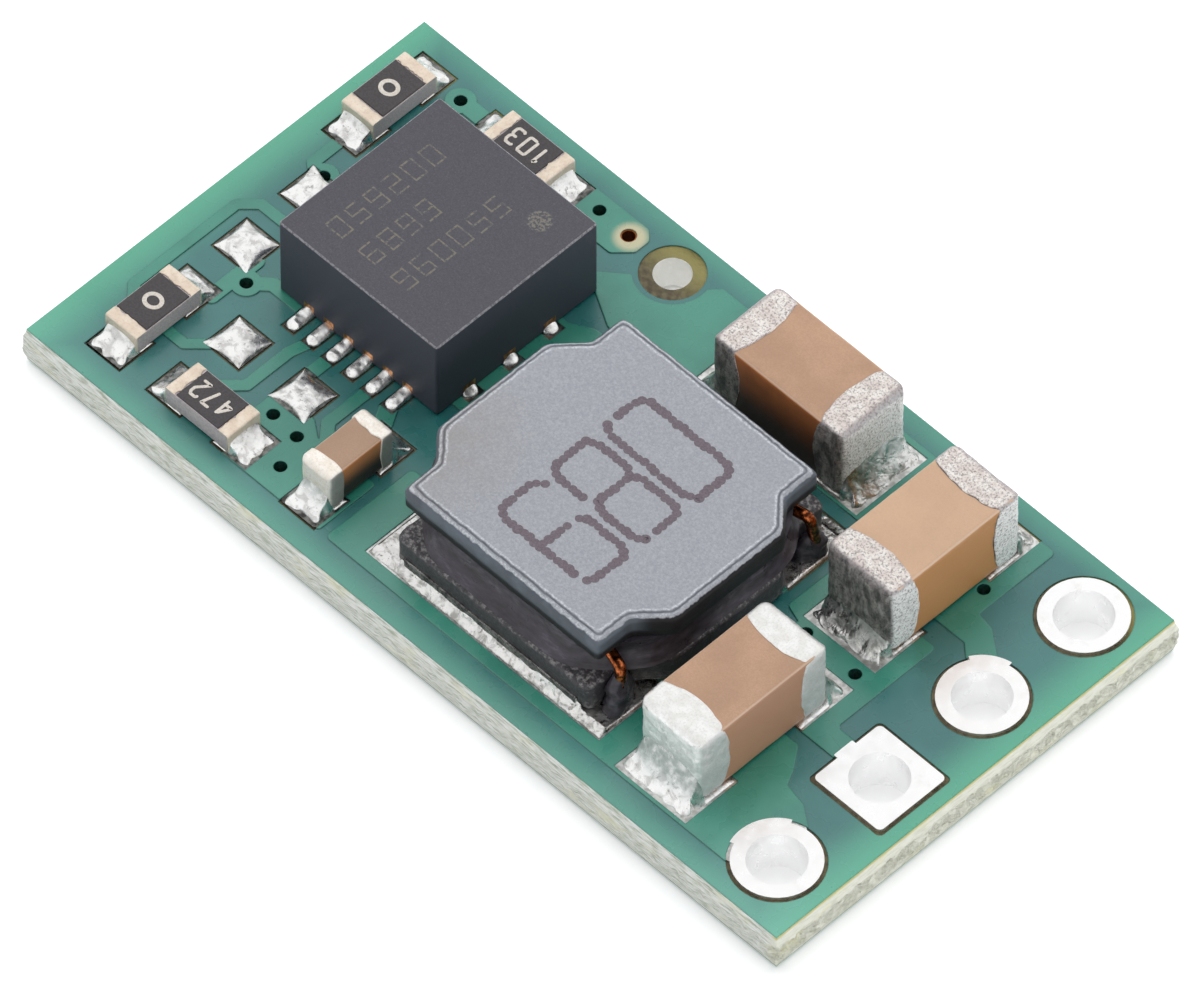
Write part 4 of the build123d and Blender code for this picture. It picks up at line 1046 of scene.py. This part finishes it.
def print_inductor(finish):
    """Three plain numerals burnt into the upper flange as rows of small overlapping dots."""
    random = np.random.default_rng(5)
    centres = []
    for index, numeral in enumerate("680"):
        for stroke in numerals[numeral]:
            line = along_path([(2.66 - 2.28 * h, -2.88 + 1.30 * index + 1.02 * w) for w, h in stroke], 0.140)
            line = line + random.uniform(-0.016, 0.016, line.shape)
            centres += line[random.uniform(size=len(line)) > 0.02].tolist()
    radius = random.uniform(0.080, 0.104, len(centres))
    shells = [set_down(shell, height=board_face + flange_top - 0.0015) for shell in dots(centres, radius, 0.004)]
    piece("inductor_numerals", shells, finish, crease=40)


def ribbon(line, width, thick):
    """A flat stroke: a low rectangular section carried along a line, its width closed by a half circle at each end."""
    line = np.array(line, float)
    step = np.gradient(line, axis=0)
    step /= np.linalg.norm(step, axis=1, keepdims=True)
    left = np.stack([-step[:, 1], step[:, 0]], -1)
    reached = np.concatenate([[0.0], np.cumsum(np.linalg.norm(np.diff(line, axis=0), axis=1))])
    end = np.minimum(reached, reached[-1] - reached)
    half = width / 2 * np.sqrt(1 - np.clip(1 - end / (width / 2), 0, 1) ** 2) + 1e-4
    section = (-1, 0.0), (1, 0.0), (0.94, thick), (-0.94, thick)
    rows = np.stack([join(line + side * left * half[:, None], z) for side, z in section], axis=1)
    return tube(rows, rows[0].mean(axis=0), rows[-1].mean(axis=0))


def print_resistors(finish, places):
    """A ring on each of two resistors and three plain numerals on each of the other two."""
    top = copper_top + solder_gap + resistor_chip["height"] - 0.002
    for name, at, angle, code in places:
        shells = []
        if code == "0":
            oval = circle(48) * [0.148, 0.165]
            out = oval / np.linalg.norm(oval, axis=1, keepdims=True)
            section = [(-0.044, 0.0), (0.044, 0.0), (0.040, 0.008), (-0.040, 0.008), (-0.044, 0.0)]
            shells.append(tube(np.stack([join(oval + out * d, z) for d, z in section])))
            code = ""
        for index, numeral in enumerate(code):
            for order, stroke in enumerate(numerals[numeral]):
                line = along_path([(-0.40 + 0.31 * index + 0.19 * w, -0.19 + 0.38 * h) for w, h in stroke], 0.012)
                shells.append(ribbon(line, 0.062, 0.008 + 0.0012 * order))
        shells = [set_down(shell, at, angle, top) for shell in shells]
        piece(f"{name}_numeral", shells, finish, crease=40)


# Board

def board_rim():
    """The core's broken rim: the face's outline carried down the thickness, out to the web along the score cuts and
    back. The web is drawn in unevenly, most at the end by the terminals, and layered along its length."""
    a, b = face_half
    sides = [((a, -b), (a, b)), ((a, b), (-a, b)), ((-a, b), (-a, -b)), ((-a, -b), (a, -b))]
    places, normals = [], []
    for index, (start, end) in enumerate(sides):
        start, end = np.array(start), np.array(end)
        count = int(np.linalg.norm(end - start) / 0.035)
        share = np.linspace(0, 1, count)[:, None]
        facing = math.radians(90 * index)
        places.append(start + (end - start) * share)
        normals.append(np.broadcast_to([math.cos(facing), math.sin(facing)], (count, 2)))
        turn = np.radians(90 * index + np.arange(10, 90, 10))
        places.append(np.broadcast_to(end, (8, 2)))
        normals.append(np.column_stack([np.cos(turn), np.sin(turn)]))
    places, normals = np.concatenate(places), np.concatenate(normals)
    depth = np.array([0.0, 0.02, 0.07, 0.12, 0.17, 0.22, 0.255, 0.28, 0.31, 0.34, 0.37, 0.40, 0.43, 0.46, 0.49,
                      0.52, 0.55, 0.58, 0.63, 0.68, 0.73, 0.78, 0.80])
    out = web_reach * np.clip(np.minimum(depth, depth[-1] - depth) / 0.26, 0, 1)
    rows = join(places + normals * out[:, None, None], core_top - depth[:, None])
    broken = np.clip((rows[..., 0] - 9.3) / 0.1, 0, 1)
    near = np.where(rows[..., 1] > 4.9, 0.4, 1.0)
    web = np.clip((out / web_reach - 0.75) / 0.25, 0, 1)[:, None]
    coarse = np.abs(rough(rows * [1, 1, 0.8], 0.20, 81)) * (0.045 + 0.20 * broken)
    fine = np.abs(rough(rows * [0.5, 0.5, 1.0], 0.055, 82)) * (0.020 + 0.05 * broken)
    slight = np.abs(rough(rows * [0.25, 0.25, 1.0], 0.05, 83)) * 0.010
    inward = near * web * np.minimum(coarse + fine, 0.085) + slight * np.clip(out / 0.03, 0, 1)[:, None]
    rows[..., :2] -= normals * inward[..., None]
    return tube(rows)


def dress_board(finish):
    """The core again, its flat faces and drilled walls as in the CAD, its rim broken."""
    source = nodes["circuit_board"].data
    corners = np.zeros(len(source.vertices) * 3)
    source.vertices.foreach_get("co", corners)
    corners = corners.reshape(-1, 3) / MM
    triangles = np.zeros(len(source.polygons) * 3, int)
    source.polygons.foreach_get("vertices", triangles)
    triangles = triangles.reshape(-1, 3)
    outside = (np.abs(corners[:, 0]) > face_half[0] + 0.004) | (np.abs(corners[:, 1]) > face_half[1] + 0.004)
    kept = triangles[~outside[triangles].any(axis=1)]
    points, faces = board_rim()
    mesh = bpy.data.meshes.new("board_core")
    mesh.from_pydata(np.concatenate([corners, points]) * MM, [], kept.tolist() + (faces[0] + len(corners)).tolist())
    solid = bmesh.new()
    solid.from_mesh(mesh)
    bmesh.ops.remove_doubles(solid, verts=solid.verts, dist=1e-7)
    bmesh.ops.delete(solid, geom=[v for v in solid.verts if not v.link_faces], context="VERTS")
    solid.to_mesh(mesh)
    solid.free()
    show("board_core", mesh, finish, ["circuit_board"], 35)


def pad_tabs(finish):
    """Where a terminal's tin runs on into the copper beside it: thin patches between the pad and the mask."""
    shells = []
    heights = core_top, pad_top - 0.004
    for row, start, end in ((0, 118, 200), (2, 100, 150)):
        turn = np.radians(np.linspace(start, end, 30))
        arc = np.column_stack([np.cos(turn), np.sin(turn)])
        tab = prism(np.concatenate([arc * 0.80, arc[::-1] * 0.915]), *heights)
        shells.append(set_down(tab, (terminal_x, terminal_rows[row])))
    tab = prism(loop(rectangle(0.13, 0.46), 40, 0.03)[0], *heights)
    shells.append(set_down(tab, (terminal_x - 0.86, -1.21)))
    piece("terminal_tabs", shells, finish, crease=40)


# The module

make_camera()
make_studio()

tin = tin_finish()
bright_solder = solder_finish("bright_solder", "F8F8F7", "D0CFCD", 0.008, 0.0015, 0.5)
rough_solder = solder_finish("rough_solder", "E6E5E3", "A3A29F", 0.022, 0.006, 0.9)
grainy_end = end_cap_finish("grainy_tin_end", "F6F0EA", "857C79", "E4D8D2", 0.026, 0.9, 0.9, 0.45)
smooth_end = end_cap_finish("smooth_tin_end", "F4F4F2", "B9B9B7", "E9E8E5", 0.004, 0.3, 0.0, 0.85, 0.3)
cream_tin = end_cap_finish("cream_tin_end", "F8F2E9", "B0A598", "EFE5D8", 0.005, 0.3, 0.0, 0.3, 0.7)
stained_electrode = end_cap_finish("stained_electrode", "CFCDC9", "1C1C1D", "8C8A88", 0.020, 1.0, 0.7)
cream_end = end_cap_finish("cream_end_wrap", "EADCCB", "B8A593", "E0CFBC", 0.005, 0.3)
alumina = stone_finish("substrate_alumina", "C4B8B8", "A9A0A2", 0.45)
overcoat = stone_finish("overcoat_glass", "332F31", "403C3E", 0.38)
number_paint = stone_finish("numeral_paint", "D9D2C8", "C4BBB0", 0.6)
burnt = stone_finish("burnt_ferrite", "6F646B", "5B5057", 0.6, 0.03)
lead_copper = copper_finish("lead_copper", "D9965C", "8A5A34", 0.32)
wire_copper = copper_finish("wire_copper", "C8703F", "3A1C12", 0.25)
mask = mask_finish()

own_finish = {
    "top_solder_mask": mask, "bottom_solder_mask": mask, "top_copper": land_finish(),
    "via_platings": via_wall_finish(), "bottom_copper": lead_copper, "regulator_body": mould_finish(),
    "regulator_leads": lead_copper, "inductor_winding": wire_copper, "inductor_electrode_a": stained_electrode,
    "inductor_electrode_b": stained_electrode,
}
for name in nodes:
    if name.startswith("barrel_terminal"):
        own_finish[name] = tin
    if name.endswith("_substrate"):
        own_finish[name] = alumina
    if name.endswith("_overcoat"):
        own_finish[name] = overcoat
for name, material in own_finish.items():
    nodes[name].data.materials.clear()
    nodes[name].data.materials.append(material)

dress_board(laminate_finish())
pad_tabs(tin)
large_cup = dict(band=0.56, bulge=0.16, edge=0.22, lump=0.010)
small_cup = dict(band=0.30, bulge=0.05, edge=0.13, lump=0.005)
wrap_cup = dict(band=0.25)
ceramic = ceramic_finish()
# Name, chip, place, direction, shape of the plated ends, climb and unevenness of the solder, finishes and seed
for chip in (
    ("input_capacitor_1", input_chip, (1.78, 3.475), ALONG_X, large_cup, 0.62, 0.035, grainy_end, rough_solder, 100),
    ("input_capacitor_2", input_chip, (5.67, 2.435), ALONG_Y, large_cup, 0.42, 0.040, grainy_end, rough_solder, 200),
    ("output_capacitor", output_chip, (5.67, -2.25), ALONG_Y, large_cup, 0.74, 0.013, smooth_end, bright_solder, 300),
    ("supply_capacitor", supply_chip, (-3.085, -3.17), ALONG_Y, small_cup, 0.44, 0.018, cream_tin, bright_solder, 400),
):
    dress_chip(*chip)
resistor_places = [
    ("resistor_1", (-8.52, 3.18), ALONG_Y, "0"), ("resistor_2", (-8.03, -3.155), ALONG_Y, "0"),
    ("resistor_3", (-5.835, 4.00), ALONG_X, "103"), ("resistor_4", (-5.71, -3.94), ALONG_X, "472"),
]
for index, (name, at, angle, code) in enumerate(resistor_places):
    dress_chip(name, resistor_chip, at, angle, wrap_cup, 0.30, 0.016, cream_end, bright_solder, 500 + 40 * index)
print_resistors(number_paint, [(n, at, angle + 180, code) for n, at, angle, code in resistor_places])
open_places = [
    ((-8.03, -0.855), ALONG_Y, [(-1, -1, 0.12)]), ((-8.03, 0.795), ALONG_Y, [(1, 1, 0.12)]),
    ((-6.55, -2.475), ALONG_X, [(-1, -1, 0.14)]), ((-4.90, -2.475), ALONG_X, [(-1, -1, 0.05), (1, -1, 0.08)]),
]
pads = [set_down(pillow(supply_chip, tails, 600 + index), at, angle, copper_top)
        for index, (at, angle, tails) in enumerate(open_places)]
piece("open_pad_pillows", pads, bright_solder, ["open_pad_solder"])
dress_regulator(bright_solder)
dress_inductor(ferrite_finish(), lower_flange_finish(), resin_finish(), rough_solder)
print_inductor(burnt)
